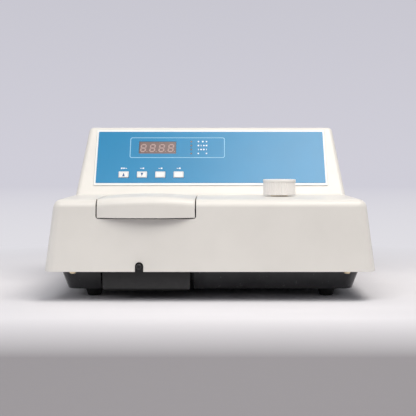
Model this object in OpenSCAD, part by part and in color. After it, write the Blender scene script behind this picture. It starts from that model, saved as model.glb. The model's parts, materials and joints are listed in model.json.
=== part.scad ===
// Benchtop filter fluorometer with a knob-tuned emission monochromator.
// Millimetres, +Z up, front towards -Y. The modules measure Y from the cover's front
// bottom edge, and placed() moves everything so that the origin is the centre of the
// overall box, on the bench.

/* [Cover] */
// Width of the cover at its bottom edge
cover_w = 397; // [384:1:430]
// Depth of the cover at its bottom edge
cover_d = 312; // [308:1:340]
// Height of the cover's bottom edge above the bench
cover_bottom = 37; // [34:0.5:42]
// Height of the front deck above the bench
deck_z = 123; // [120:0.5:132]
// Height of the top above the bench
top_z = 214; // [206:1:230]
// Distance from the front edge back to the foot of the sloped face
crease_y = 138; // [137:0.5:146]
// Thickness of the cover's moulded wall
wall = 3; // [2.5:0.1:3.5]
// Lean of the side walls, degrees
draft_side = 7.5; // [6:0.5:8]
// Lean of the front wall, degrees
draft_front = 5; // [3:0.5:7]
// Lean of the rear wall, degrees
draft_back = 3; // [2:0.5:4]
// Lean of the sloped face from the vertical, degrees
slope_angle = 32.5; // [28:0.5:36]
// Radius of the cover's upright corners
corner_r = 14; // [11:1:18]
// Rounding where the deck meets the front and side walls
edge_r = 11; // [9:0.5:13]
// Rounding of the upper housing's edges
upper_r = 7; // [5:0.5:9]
// Width of the shoulder on each side of the upper housing
shoulder = 7.5; // [6:0.5:10]
// Radius of the fillet at the foot of the sloped face
crease_r = 6; // [4:0.5:7]

/* [Sample lid] */
// Distance from the cover's left edge to the lid's centre
lid_from_left = 122; // [119:0.5:125]
// Width of the lid's opening in the cover
opening_w = 120; // [116:0.5:121]
// Gap at each side of the lid
lid_gap = 1.5; // [1:0.1:1.8]
// Gap behind the lid's rolled edge
lid_back_gap = 0.8; // [0.7:0.05:1]
// Height of the lid's lower front edge above the bench
lid_bottom = 101; // [98:0.5:104]
// Thickness of the lid's moulded skin
lid_t = 2.5; // [2:0.1:3]
// Height of the lid's crown above the deck
lid_crown = 3.5; // [2:0.5:5]
// Forward bulge of the lid's front
lid_bulge = 8; // [5:0.5:9]
// Distance from the foot of the slope forward to the hinge pin
hinge_setback = 11; // [10:0.5:12]
// Depth of the hinge pin below the deck, which is also the radius of the lid's rolled edge
hinge_drop = 5.7; // [5.4:0.1:6]
// Radius of the hinge pin
pin_r = 1.25; // [1:0.05:1.4]

/* [Control panel] */
// Distance from the plate's top corners to the slope's side edges
plate_side = 11.8; // [10:0.1:14]
// Distance from the top of the slope down to the plate
plate_down = 4.5; // [4.1:0.1:6]
// Distance from the foot of the slope up to the plate
plate_up = 14.4; // [14:0.1:16.5]
// Thickness of the panel plate
plate_t = 2.5; // [2:0.1:3]
// How far the plate stands proud of the slope
plate_proud = 1.2; // [0.8:0.1:1.5]
// White margin of the plate at each side of the blue overlay
plate_margin = 2.6; // [2:0.1:4]
// White margin of the plate above and below the blue overlay
plate_border = 3.5; // [2:0.1:5]
// Thickness of the blue overlay
overlay_t = 0.4; // [0.3:0.05:0.6]
// Width of a key cap
key_w = 13.2; // [11:0.1:15]
// Height of a key cap along the slope
key_h = 9.2; // [8:0.2:11]
// Distance between key centres
key_pitch = 24.6; // [22:0.2:26]
// Distance from the panel's centre line to the first key
key_first = 116.8; // [112:0.1:120]
// Height of the key row above the foot of the slope
key_up = 30.7; // [30:0.1:33]
// Travel of a key
key_travel = 0.4; // [0.3:0.05:0.5]
// Width of the four-digit display
display_w = 50; // [48:0.5:51]
// Height of the four-digit display
display_h = 19; // [18:0.5:19.5]
// Distance from the panel's centre line to the display's centre
display_x = 72.5; // [70:0.5:75]
// Distance from the plate's top edge down to the display's centre
display_down = 29.3; // [26:0.1:32]
// Radius of a status lamp
led_r = 1.2; // [1:0.1:1.8]
// Distance between status lamps
led_pitch = 6.4; // [5.5:0.1:7]

/* [Tuning knob] */
// Distance from the cover's right edge to the knob's centre
knob_from_right = 109.5; // [106:0.5:112]
// Distance from the foot of the slope forward to the knob's centre
knob_setback = 34; // [33:0.5:35]
// Radius of the knob at its lower edge
knob_r = 20.5; // [18:0.5:22]
// Height of the knob
knob_h = 20; // [17:0.1:22]
// Gap between the knob and the deck
knob_gap = 1.7; // [1.5:0.1:2.5]
// Number of flutes round the knob
knob_flutes = 38; // [30:1:60]
// Radius of the knob's shaft
shaft_r = 3; // [2.5:0.1:3.2]
// Turn of the knob each way, degrees
knob_turn = 100; // [80:1:104]

/* [Gearing] */
// Module of the gear teeth
gear_module = 0.8; // [0.75:0.01:0.85]
// Teeth on the drive pinion
pinion_teeth = 14; // [13:1:15]
// Teeth on a full circle of the sector gear
sector_teeth = 112; // [108:1:116]
// Thickness of the sector gear
gear_t = 4; // [3:0.5:5]

/* [Base] */
// Height of the rubber feet
foot_h = 9.5; // [8:0.5:12]
// Radius of a foot at its top
foot_r = 10.8; // [8:0.2:11.4]
// Inset of a foot's centre from the cover's side edge
foot_inset = 52.5; // [47:0.5:58]
// Inset of the tray's floor from the cover's side edge
tray_inset = 20; // [18:0.5:21]
// Inset of the tray's floor from the cover's front edge
tray_front = 56; // [54:0.5:60]
// Inset of the tray's floor from the cover's rear edge
tray_back = 34; // [32:0.5:40]
// Lean of the tray's walls, degrees
tray_draft = 18; // [13:0.5:19]
// Thickness of the tray's wall and flange
tray_t = 2.5; // [2:0.1:3]
// Thickness of the steel chassis plate
chassis_t = 2.5; // [2:0.1:3]
// Gap between the sample chamber and each side of the bay that it hangs in
bay_gap = 3.6; // [3:0.1:5]
// Inset of a cover screw from the cover's side edge
screw_inset = 33.5; // [31:0.5:36]

/* [Sample chamber] */
// Outer width of the sample chamber
chamber_w = 108; // [104:0.2:109]
// Distance from the lid's centre line left to the chamber's centre line
chamber_off = 1.5; // [0:0.1:2]
// Distance from the cover's front edge to the chamber's front wall
chamber_front = 31; // [29:0.5:32]
// Thickness of the chamber's wall
chamber_t = 3; // [2.5:0.1:3.5]
// Depth of the light beam below the deck
beam_drop = 48; // [45:0.5:49]
// Distance from the chamber's centre line right to the cuvette's centre
cell_x = 19; // [17:0.5:21]
// Inner width of the cuvette pocket
cell_w = 12.6; // [12.5:0.05:12.8]
// Outer width of the cuvette holder
cell_block = 24; // [22:0.5:26]
// Radius of the filter slide's pull rod
rod_r = 3.25; // [3:0.05:3.5]
// How far the pull rod stands out in front of the cover
rod_out = 6; // [4:0.5:8]
// Distance from the chamber's centre line left to the pull rod
rod_offset = 6.3; // [5.3:0.1:7.3]
// Height of the pull rod above the cover's bottom edge
rod_up = 6.4; // [6:0.1:7]
// Width of the notch for the pull rod
notch_w = 10; // [9:0.1:11]
// Radius of an excitation filter
filter_r = 8; // [7:0.5:9]

/* [Instruments] */
// Clearance between the sample chamber's lugs and the monochromator's case
case_gap = 1.5; // [1:0.1:3]
// Angle between the two light paths at the grating, degrees
arm_angle = 35; // [33:0.5:38]
// Radius of the photomultiplier tube
tube_r = 14; // [13:0.5:15]
// Height and width of the grating
grating_w = 26; // [24:0.5:28]
// Width and height of the fan
fan_w = 60; // [55:1:60]
// Depth of the fan
fan_d = 20; // [15:1:25]
// Number of fan blades
fan_blades = 7; // [5:1:9]

/* [Hidden] */
$fn = 48;

white = [0.93, 0.92, 0.89];
black = [0.10, 0.10, 0.11];
blue = [0.22, 0.56, 0.78];
steel = [0.70, 0.71, 0.72];
brass = [0.80, 0.66, 0.38];
glass = [0.75, 0.85, 0.90];
green = [0.10, 0.40, 0.22];

through = 1;          // how far a cut runs past the face that it opens
seat = 0.3;           // clearance under a curved or sprung seat
run = 0.05;           // radial clearance of a running fit
hull_fn = 32;         // sides of the balls and discs that a hull is stretched over

foot_x = cover_w / 2 - foot_inset;
screw_x = cover_w / 2 - screw_inset;
beam_z = deck_z - beam_drop;
mid_y = (cover_d - rod_out) / 2;
lid_x = -cover_w / 2 + lid_from_left;
chamber_x = lid_x - chamber_off;
knob_x = cover_w / 2 - knob_from_right;
knob_y = crease_y - knob_setback;

// Heights of the stacked layers
flange_top = cover_bottom + tray_t;
floor_z = flange_top + chassis_t;       // top face of the chassis plate
deck_under = deck_z - wall;

module placed() {
    translate([0, -mid_y, 0]) children();
}

// ---------- shared shapes ----------

// Half-width of the lower housing, and the Y of its front and rear walls, at height z
function side_x(z) = cover_w / 2 - (z - cover_bottom) * tan(draft_side);
function front_y(z) = (z - cover_bottom) * tan(draft_front);
function back_y(z) = cover_d - (z - cover_bottom) * tan(draft_back);
// Half-width of the upper housing, and the Y of its sloped and rear walls, at height z
function upper_x(z) = side_x(deck_z) - shoulder - (z - deck_z) * tan(draft_side);
function slope_y(z) = crease_y + (z - deck_z) * tan(slope_angle);
function upper_back(z) = back_y(z) - shoulder;

function arc(r, a0, a1, n, c = [0, 0]) =
    [for (i = [0:n]) let (a = a0 + (a1 - a0) * i / n) [c[0] + r * cos(a), c[1] + r * sin(a)]];

// Outline of a rectangle centred on the origin with rounded corners
function rounded(w, h, r, n = 5) = concat(
    arc(r, 0, 90, n, [w / 2 - r, h / 2 - r]),
    arc(r, 90, 180, n, [-w / 2 + r, h / 2 - r]),
    arc(r, 180, 270, n, [-w / 2 + r, -h / 2 + r]),
    arc(r, 270, 360, n, [w / 2 - r, -h / 2 + r]));

// A box from its lowest corner to its highest
module block(low, high) {
    translate(low) cube(high - low);
}

// A ball with a vertex at each pole, for hulls
module ball(r) {
    rotate_extrude($fn = hull_fn) polygon(arc(r, -90, 90, hull_fn / 2));
}

// A cylinder along X, from x0 to x1 at (y, z)
module rod_x(r, x0, x1, y, z) {
    translate([x0, y, z]) rotate([0, 90, 0]) cylinder(r = r, h = x1 - x0);
}

// A cylinder along Y, from y0 to y1 at (x, z)
module rod_y(r, y0, y1, x, z) {
    translate([x, y0, z]) rotate([-90, 0, 0]) cylinder(r = r, h = y1 - y0);
}

// Children mirrored to the left and right
module both_sides() {
    for (side = [-1, 1]) scale_x(side) children();
}

module scale_x(side) {
    if (side < 0) mirror([1, 0, 0]) children();
    else children();
}

// A pan-head screw pointing up (+Z), its head below z = 0 with a cross recess
module pan_screw(r, length, head_r, head_h) {
    curve = head_h * 0.6;
    slot = [head_r * 1.1, head_r * 0.26, head_h];
    cylinder(r = r, h = length);
    translate([0, 0, -head_h]) difference() {
        rotate_extrude() polygon(concat([[0, 0]], arc(curve, -90, 0, 4, [head_r - curve, curve]),
            [[head_r, head_h], [0, head_h]]));
        for (a = [0, 90]) rotate([0, 0, a]) translate([0, 0, -head_h * 0.1]) cube(slot, center = true);
    }
}

// Local frame of the sloped face: X across, Y up the slope, Z out of it
module on_slope() {
    translate([0, crease_y, deck_z]) rotate([90 - slope_angle, 0, 0]) children();
}

// ---------- top cover ----------

// The lower housing's form, moved inwards by inset
module lower_form(inset) {
    low = cover_bottom - (inset > 0 ? through : 0);
    top = deck_z - edge_r;
    flat = corner_r - inset;
    hull() both_sides() {
        for (y = [front_y(low) + corner_r, back_y(low) - corner_r])
            translate([side_x(low) - corner_r, y, low]) cylinder(r = flat, h = 0.01, $fn = hull_fn);
        for (y = [front_y(top) + edge_r / cos(draft_front), back_y(top) - edge_r / cos(draft_back)])
            translate([side_x(top) - edge_r / cos(draft_side), y, top]) ball(edge_r - inset);
    }
}

// The upper housing's form, moved inwards by inset
module upper_form(inset) {
    low = deck_z - 2 * upper_r;
    top = top_z - upper_r;
    hull() both_sides() for (z = [low, top])
        for (y = [slope_y(z) + upper_r / cos(slope_angle), upper_back(z) - upper_r / cos(draft_back)])
            translate([upper_x(z) - upper_r / cos(draft_side), y, z]) ball(upper_r - inset);
}

// Concave fillet between the deck and the sloped face
module crease_fillet() {
    corner = 90 + slope_angle;                  // open angle between deck and slope
    reach = crease_r / tan(corner / 2);
    half = upper_x(deck_z) - upper_r;
    translate([-half, crease_y, deck_z]) rotate([90, 0, 90]) linear_extrude(2 * half)
        polygon(concat(
            [[1, -wall / 2], [-reach, -wall / 2]],
            arc(crease_r, -90, -90 + (180 - corner), 6, [-reach, crease_r]),
            [[reach * sin(slope_angle) + wall / 2, reach * cos(slope_angle)]]));
}

opening_back = crease_y - hinge_setback + hinge_drop + lid_back_gap;

// Everything that the lid's opening removes from the deck and the front wall
module lid_opening() {
    r = 3;
    low = lid_bottom - lid_gap + 0.3;
    tall = deck_z + 2 * upper_r - low;
    translate([lid_x, opening_back, low + tall / 2]) rotate([90, 0, 0])
        linear_extrude(opening_back + 2 * lid_bulge) polygon(rounded(opening_w, tall, r));
}

rod_x_pos = chamber_x - rod_offset;
rod_z = cover_bottom + rod_up;

module rod_notch() {
    rod_y(notch_w / 2, -2 * through, 2 * wall + through, rod_x_pos, rod_z);
    block([rod_x_pos - notch_w / 2, -2 * through, cover_bottom - through],
        [rod_x_pos + notch_w / 2, 2 * wall + through, rod_z]);
}

slope_length = (top_z - deck_z) / cos(slope_angle);
plate_h = slope_length - plate_up - plate_down;
plate_w = 2 * (upper_x(deck_z + (plate_up + plate_h) * cos(slope_angle)) - plate_side);
display_up = plate_up + plate_h - display_down;
recess = plate_t - plate_proud;
ledge = 6;                               // width of the rim that the panel plate rests on
window_w = plate_w - 2 * ledge;
window_h = plate_h - 2 * ledge;

module panel_cutouts() {
    fit = 0.3;
    on_slope() {
        translate([0, plate_up + plate_h / 2, -recess]) linear_extrude(10)
            polygon(rounded(plate_w + 2 * fit, plate_h + 2 * fit, 1.5));
        translate([-window_w / 2, plate_up + ledge, -3 * wall])
            cube([window_w, window_h, 4 * wall]);
    }
}

rear_cut_half = cover_w / 2 - 49;
rear_cut_top = deck_z - 15;
boss_r = 6;
boss_h = 26;
boss_front = 15;                         // from the front or rear edge to a boss's centre
boss_back = cover_d - 17;

// A screw boss with a rib to the wall behind it, hollow for the screw
module cover_boss(y, wall_y) {
    both_sides() difference() {
        union() {
            translate([screw_x, y, flange_top]) cylinder(r = boss_r, h = boss_h);
            block([screw_x - 1.5, min(y, wall_y), flange_top],
                [screw_x + 1.5, max(y, wall_y), flange_top + boss_h]);
        }
        translate([screw_x, y, flange_top - through]) cylinder(r = 1.65, h = boss_h - 3 + through);
    }
}

module top_cover() {
    color(white) union() {
        difference() {
            union() {
                lower_form(0);
                upper_form(0);
                crease_fillet();
            }
            lower_form(wall);
            upper_form(wall);
            lid_opening();
            rod_notch();
            panel_cutouts();
            translate([knob_x, knob_y, deck_z - 2 * wall]) cylinder(r = bush_r, h = 3 * wall);
            block([-rear_cut_half, cover_d - 6 * wall, cover_bottom - through],
                [rear_cut_half, cover_d + through, rear_cut_top]);
        }
        cover_boss(boss_front, front_y(flange_top + boss_h) + wall / 2);
        cover_boss(boss_back, back_y(flange_top + boss_h) - wall / 2);
    }
}

// ---------- base ----------

tray_half = cover_w / 2 - tray_inset;
tray_back_y = cover_d - tray_back;
bay_back = opening_back + 2;
bay_side = [chamber_x - chamber_w / 2 - bay_gap, chamber_x + chamber_w / 2 + bay_gap];

function tray_grow(z) = (z - foot_h) * tan(tray_draft);

// The tray's tapered form, moved inwards by inset, with its floor raised by lift
module tray_form(inset, lift) {
    top = cover_bottom + (inset > 0 ? 2 * tray_t : 0);
    low = foot_h + lift;
    hull() for (z = [low, top]) both_sides()
        for (y = [tray_front - tray_grow(z) + corner_r, tray_back_y + tray_grow(z) - corner_r])
            translate([tray_half + tray_grow(z) - corner_r, y, z])
                cylinder(r = corner_r - inset, h = 0.01, $fn = hull_fn);
}

flange_half = cover_w / 2 - wall - 2;
flange_front = wall + 1.5;
flange_back = cover_d - wall - 2;
foot_front = tray_front + 11.5;
foot_back = tray_back_y - 20;

module flange() {
    long = flange_back - flange_front;
    translate([0, flange_front + long / 2, cover_bottom]) linear_extrude(tray_t)
        polygon(rounded(2 * flange_half, long, corner_r - wall));
}

// Children at each foot
module at_feet() {
    both_sides() for (y = [foot_front, foot_back]) translate([foot_x, y, 0]) children();
}

module bay_box(grow, low) {
    block([bay_side[0] - grow, -through, low], [bay_side[1] + grow, bay_back + grow, flange_top + through]);
}

// Cooling slots in the tray's floor, behind the bay
module floor_vents() {
    slots = 8;
    pitch = 9;
    for (i = [0:slots - 1]) let (x = -tray_half + 14 + i * pitch)
        block([x, bay_back + 20, 0], [x + pitch / 2, bay_back + 80, foot_h + 2 * tray_t]);
}

module base_tray() {
    color(black) difference() {
        union() {
            tray_form(0, 0);
            flange();
        }
        difference() {
            tray_form(tray_t, tray_t);
            bay_box(tray_t, 0);
        }
        bay_box(0, 0);
        floor_vents();
        at_feet() cylinder(r = 2.1, h = foot_h + 2 * tray_t);
        both_sides() for (y = [boss_front, boss_back])
            translate([screw_x, y, 0]) cylinder(r = 2.2, h = flange_top + through);
        chassis_holes(1.6);
    }
}

chassis_half = flange_half - 0.5;
chassis_front = 26;
chassis_back = flange_back - 4;

// Screws that hold the chassis plate to the tray's flange, and the chamber's lugs to the plate
module at_chassis_screws() {
    for (x = [-chassis_half + 3, chassis_half - 3], share = [0.15, 0.45, 0.75])
        translate([x, chassis_front + share * (chassis_back - chassis_front), 0]) children();
    for (share = [0.15, 0.45, 0.75])
        translate([bay_side[1] + share * (chassis_half - bay_side[1]), chassis_front + 8, 0]) children();
}

module at_chamber_screws() {
    for (x = [bay_side[0] - lug_out / 2, bay_side[1] + lug_out / 2],
            y = [chamber_front + 11, opening_back - 19])
        translate([x, y, 0]) children();
}

module chassis_holes(r) {
    at_chassis_screws() translate([0, 0, cover_bottom - through]) cylinder(r = r, h = 20);
}

module chassis_plate() {
    color(steel) difference() {
        block([-chassis_half, chassis_front, flange_top], [chassis_half, chassis_back, floor_z]);
        both_sides() block([screw_x - boss_r - 2, boss_back - boss_r - 2, flange_top - through],
            [chassis_half + through, chassis_back + through, floor_z + through]);
        block([bay_side[0], chassis_front - through, flange_top - through],
            [bay_side[1], bay_back, floor_z + through]);
        chassis_holes(1.8);
        at_chamber_screws() translate([0, 0, flange_top - through]) cylinder(r = 1.5, h = 10);
        at_panel_screws() translate([0, 0, flange_top - through]) cylinder(r = 1.5, h = 10);
        translate([tube_x, tube_y, flange_top - through]) cylinder(r = 6, h = 10);
    }
}

foot_bore = 4.7;                         // radius of the recess for a foot's screw

module rubber_foot() {
    rotate_extrude() polygon([
        [foot_bore, 0], [foot_r * 0.76 - 1, 0], [foot_r * 0.76, 1], [foot_r, foot_h],
        [2.3, foot_h], [2.3, foot_h - 4], [foot_bore, foot_h - 4]]);
}

module rubber_feet() {
    color([0.05, 0.05, 0.05]) at_feet() rubber_foot();
}

module foot_screws() {
    color(steel) at_feet() translate([0, 0, foot_h - 4]) pan_screw(2, 4 + tray_t + 3, 4, 2.4);
}

module cover_screws() {
    head_h = 3;
    washer_t = 0.8;
    color(brass) both_sides() for (y = [boss_front, boss_back]) {
        translate([screw_x, y, cover_bottom - washer_t]) pan_screw(1.6, 18, 4, head_h);
        translate([screw_x, y, cover_bottom - washer_t]) difference() {
            cylinder(r = 5, h = washer_t);
            translate([0, 0, -through]) cylinder(r = 1.65, h = washer_t + 2 * through);
        }
    }
}

// Screws of the chassis plate, the chamber's lugs, the monochromator's cover, the rear panel and the fan
module machine_screws() {
    color(steel) {
        at_chassis_screws() translate([0, 0, floor_z]) mirror([0, 0, 1])
            pan_screw(1.55, chassis_t + tray_t - 0.2, 3, 2);
        at_chamber_screws() translate([0, 0, floor_z + lug_t]) mirror([0, 0, 1])
            pan_screw(1.45, lug_t + chassis_t, 3, 2);
        at_panel_screws() translate([0, 0, floor_z + panel_t]) mirror([0, 0, 1])
            pan_screw(1.45, panel_t + chassis_t, 3, 2);
        at_case_pads() translate([0, 0, case_top + cover_t]) mirror([0, 0, 1]) pan_screw(1.45, 12, 3, 2);
        at_fan_screws() translate([0, panel_y, 0]) rotate([90, 0, 0]) pan_screw(1.6, panel_t + fan_d, 3, 2);
    }
}

// ---------- sample chamber ----------

hinge_y = crease_y - hinge_setback;
hinge_z = deck_z - hinge_drop;
surround_t = 2.5;
surround_top = hinge_z - hinge_drop - 1.6;      // upper face of the surround's floor
chamber_top = surround_top - surround_t;
chamber_back = hinge_y - 4;
beam_y = (chamber_front + chamber_back) / 2;
cell_pos_x = chamber_x + cell_x;
lug_t = 3;
lug_out = 8;                             // how far a lug reaches past the bay's side
rim_r = 4;

// X of the chamber's outer walls
chamber_l = chamber_x - chamber_w / 2;
chamber_r = chamber_x + chamber_w / 2;

module chamber_cavity(extra) {
    block([chamber_l + chamber_t, chamber_front + chamber_t, foot_h + chamber_t],
        [chamber_r - chamber_t, chamber_back - chamber_t, chamber_top + extra]);
}

barrel_r = 13;
bush_out_r = 5;

// Front view of the chamber, rounded at its lower corners
function chamber_outline() = concat(
    [[chamber_r, chamber_top], [chamber_l, chamber_top]],
    arc(rim_r, 180, 270, 5, [chamber_l + rim_r + 0.6, foot_h + rim_r]),
    arc(rim_r, 270, 360, 5, [chamber_r - rim_r - 0.6, foot_h + rim_r]));

// Side view of the chamber, rounded under its front wall
function chamber_side() = concat(
    arc(rim_r, 180, 270, 5, [chamber_front + rim_r, foot_h + rim_r]),
    [[chamber_back, foot_h], [chamber_back, chamber_top], [chamber_front, chamber_top]]);

module sample_chamber() {
    color([0.13, 0.13, 0.14]) difference() {
        union() {
            intersection() {
                translate([0, chamber_back, 0]) rotate([90, 0, 0])
                    linear_extrude(chamber_back - chamber_front) polygon(chamber_outline());
                translate([chamber_l - through, 0, 0]) rotate([90, 0, 90])
                    linear_extrude(chamber_w + 2 * through) polygon(chamber_side());
            }
            for (x = [bay_side[0] - lug_out, chamber_r - through], y = [chamber_front + 5, opening_back - 25])
                block([x, y, floor_z], [x + bay_gap + lug_out + through, y + 12, floor_z + lug_t]);
        }
        chamber_cavity(through);
        rod_y(bush_out_r, chamber_front - through, chamber_front + chamber_t + through, rod_x_pos, rod_z);
        rod_x(barrel_r, chamber_l - through, chamber_l + chamber_t + through, beam_y, beam_z);
        rod_y(barrel_r, chamber_back - chamber_t - through, chamber_back + through, cell_pos_x, beam_z);
        at_chamber_screws() translate([0, 0, floor_z - through]) cylinder(r = 1.6, h = 10);
    }
}

surround_half = opening_w / 2 + 7.5;
surround_wall = 1.8;
apron_y = 14;
cavity_half = chamber_w / 2 - chamber_t;

module chamber_surround() {
    top = deck_under - seat;
    back = opening_back + 2.6;
    x0 = lid_x - surround_half;
    x1 = lid_x + surround_half;
    color(black) difference() {
        union() {
            block([x0, apron_y, chamber_top], [x1, back, surround_top]);
            block([x0, apron_y, lid_bottom - 4], [x1, apron_y + 2, surround_top]);
            for (x = [x0, x1 - surround_wall])
                block([x, 2 * apron_y, chamber_top], [x + surround_wall, back, top]);
            block([x0, back - surround_wall, chamber_top], [x1, back, top]);
        }
        chamber_cavity(4 * surround_t);
    }
}

gasket_t = 1.3;
gasket_land = 4;                         // least width of the gasket beside the chamber's mouth
gasket_clear = 0.5;                      // gap between the gasket and the hinge brackets

// Wide enough for the lid's end walls and for a land round the mouth, and clear of the hinge brackets
module lid_gasket() {
    edge = max(lid_w / 2 + 0.4, cavity_half + chamber_off + gasket_land);
    color([0.04, 0.04, 0.04]) difference() {
        block([lid_x - edge, apron_y + 3.5, surround_top],
            [lid_x + edge, hinge_y + 1, surround_top + gasket_t]);
        block([chamber_x - cavity_half, apron_y + 8, surround_top - through],
            [chamber_x + cavity_half, chamber_back - chamber_t, surround_top + gasket_t + through]);
        for (side = [0, 1]) translate([lid_x, 0, 0]) mirror([side, 0, 0])
            block([bracket_in - gasket_clear, hinge_y - bracket_half - gasket_clear, surround_top - through],
                [surround_half, hinge_y + bracket_half, surround_top + gasket_t + through]);
    }
}

// ---------- sample lid ----------

lid_w = opening_w - 2 * lid_gap;
lid_steps = 18;
fade_steps = 4;

function smooth(t) = let (u = min(1, max(0, t))) u * u * (3 - 2 * u);
// The lid's profile (Y, Z) at s from -1 (left end) to 1 (right end), sunk below the skin by inset
function lid_profile(s, inset) =
    let (
        rise = lid_crown * (1 - s * s),
        push = lid_bulge * (1 - s * s),
        zc = deck_z + rise - edge_r,
        yc = front_y(zc) - push + edge_r / cos(draft_front))
    concat(
        [for (i = [0:fade_steps]) let (d = i * 5)
            [hinge_y - d, deck_z - inset + rise * smooth((d - 4) / 16)]],
        arc(edge_r - inset, 90, 180 - draft_front, 6, [yc, zc]),
        [[front_y(lid_bottom) - push + inset / cos(draft_front), lid_bottom]]);

function reversed(list) = [for (i = [len(list) - 1:-1:0]) list[i]];

module lid_skin() {
    loops = [for (i = [0:lid_steps])
        let (s = -1 + 2 * i / lid_steps, profile = concat(lid_profile(s, 0), reversed(lid_profile(s, lid_t))))
        [for (p = profile) [lid_x + s * lid_w / 2, p[0], p[1]]]];
    n = len(loops[0]);
    half = n / 2;
    points = [for (loop = loops) each loop];
    sides = [for (i = [0:lid_steps - 1], j = [0:n - 1]) let (k = (j + 1) % n)
        each [[i * n + j, (i + 1) * n + k, i * n + k], [i * n + j, (i + 1) * n + j, (i + 1) * n + k]]];
    last = lid_steps * n;
    ends = [for (j = [0:half - 2])
        each [[j, j + 1, n - 2 - j], [j, n - 2 - j, n - 1 - j],
            [last + j, last + n - 2 - j, last + j + 1], [last + j, last + n - 1 - j, last + n - 2 - j]]];
    polyhedron(points, concat(sides, ends));
}

// End wall of the lid, from the middle of its skin down to the gasket
module lid_end(x) {
    low = surround_top + gasket_t + seat;
    path = lid_profile(1, lid_t / 2);
    front = front_y(lid_bottom) + lid_t;
    translate([x, 0, 0]) rotate([90, 0, 90]) linear_extrude(lid_t)
        polygon(concat(path, [[front, lid_bottom], [front + 1, low], [hinge_y, low]]));
}

// Rib behind the lid's front, which closes on the gasket
module lid_rib() {
    low = surround_top + gasket_t + seat;
    half = lid_w / 2 - lid_t / 2;
    top = [for (i = [0:12]) let (s = 1 - i / 6)
        [lid_x + s * half, deck_z - lid_t / 2 + lid_crown * (1 - s * s)]];
    translate([0, apron_y + 7, 0]) rotate([90, 0, 0]) linear_extrude(2)
        polygon(concat([[lid_x - half, low], [lid_x + half, low]], top));
}

module sample_lid() {
    color(white) difference() {
        union() {
            lid_skin();
            lid_end(lid_x - lid_w / 2);
            lid_end(lid_x + lid_w / 2 - lid_t);
            lid_rib();
            rod_x(hinge_drop - 0.02, lid_x - lid_w / 2, lid_x + lid_w / 2, hinge_y, hinge_z);
        }
        rod_x(pin_r + run, lid_x - lid_w, lid_x + lid_w, hinge_y, hinge_z);
    }
}

bracket_in = opening_w / 2 + 1;
bracket_out = surround_half - surround_wall;
bracket_half = 6;                        // half the depth of a hinge bracket

module hinge_pin() {
    color(steel) rod_x(pin_r, lid_x - bracket_out + 0.5, lid_x + bracket_out - 0.5, hinge_y, hinge_z);
}

module hinge_brackets() {
    color(steel) difference() {
        for (x = [lid_x - bracket_out, lid_x + bracket_in])
            block([x, hinge_y - bracket_half, surround_top],
                [x + bracket_out - bracket_in, hinge_y + bracket_half, deck_under - seat]);
        rod_x(pin_r, lid_x - opening_w, lid_x + opening_w, hinge_y, hinge_z);
    }
}

// ---------- control panel ----------

key_hole = 0.3;                          // gap round a key cap
led_x = display_x - 46;
led_low = display_up - 1.5 * led_pitch;
display_face = plate_proud - 0.3;
display_t = 8;
board_top = display_face - display_t;
board_t = 1.6;

module at_keys() {
    for (i = [0:3]) translate([-key_first + i * key_pitch, key_up, 0]) children();
}

module at_leds() {
    for (i = [0:3]) translate([-led_x, led_low + i * led_pitch, 0]) children();
}

// Holes for the keys, the display and the lamps, each side larger than its part by gap
module panel_holes(gap) {
    at_keys() translate([-key_w / 2 - gap, -key_h / 2 - gap, -10])
        cube([key_w + 2 * gap, key_h + 2 * gap, 20]);
    translate([-display_x - display_w / 2 - gap, display_up - display_h / 2 - gap, -10])
        cube([display_w + 2 * gap, display_h + 2 * gap, 20]);
    at_leds() translate([0, 0, -10]) cylinder(r = led_r + 0.1, h = 20, $fn = 24);
}

module panel_plate() {
    color([0.95, 0.95, 0.94]) on_slope() difference() {
        translate([0, plate_up + plate_h / 2, -recess]) linear_extrude(plate_t)
            polygon(rounded(plate_w, plate_h, 1.2));
        panel_holes(key_hole);
    }
}

module panel_overlay() {
    color(blue) on_slope() difference() {
        translate([0, plate_up + plate_h / 2, plate_proud]) linear_extrude(overlay_t)
            polygon(rounded(plate_w - 2 * plate_margin, plate_h - 2 * plate_border, 0.8));
        panel_holes(key_hole);
    }
}

module display_module() {
    color([0.42, 0.33, 0.33]) on_slope()
        translate([-display_x - display_w / 2, display_up - display_h / 2, board_top])
            cube([display_w, display_h, display_t]);
}

digit_h = 13;
digit_w = 8;
seg = 1.9;
slant = 8;

// One bar of a digit, with pointed ends, centred and lying along X
module segment(length) {
    half = length / 2 - 0.3;
    linear_extrude(0.25) polygon([[-half, 0], [-half + seg / 2, seg / 2], [half - seg / 2, seg / 2],
        [half, 0], [half - seg / 2, -seg / 2], [-half + seg / 2, -seg / 2]]);
}

// Seven bars and a point, leaning to the right
module digit() {
    w = digit_w - seg;
    h = (digit_h - seg) / 2;
    lean = tan(slant);
    for (row = [-1, 0, 1]) translate([row * h * lean, row * h, 0]) segment(w);
    for (row = [-0.5, 0.5], side = [-1, 1])
        translate([side * w / 2 + row * h * lean, row * h, 0]) rotate([0, 0, 90 - slant]) segment(h);
    translate([digit_w / 2 + 1, -digit_h / 2 + seg / 2, 0]) cylinder(r = 0.6, h = 0.25, $fn = 16);
}

module display_segments() {
    pitch = display_w / 4;
    color([0.78, 0.60, 0.56]) on_slope() for (i = [0:3])
        translate([-display_x + (i - 1.5) * pitch - 0.6, display_up - 0.5, display_face]) digit();
}

board_edge = 9;                          // from an outer key, lamp or pillar to the board's edge
board_left = -key_first - key_w / 2 - board_edge;
board_right = -led_x + 4.5 * board_edge;
board_low = key_up - key_h / 2 - board_edge;
board_high = display_up + display_h / 2 + board_edge;

// Two pillars at the right, one beside the display and one between the first two keys
module at_pillars() {
    for (p = [[board_right - 5, key_up], [board_right - 5, display_up],
            [-display_x - display_w / 2 - 7, display_up], [-key_first + key_pitch / 2, key_up]])
        translate([p[0], p[1], 0]) children();
}

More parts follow.
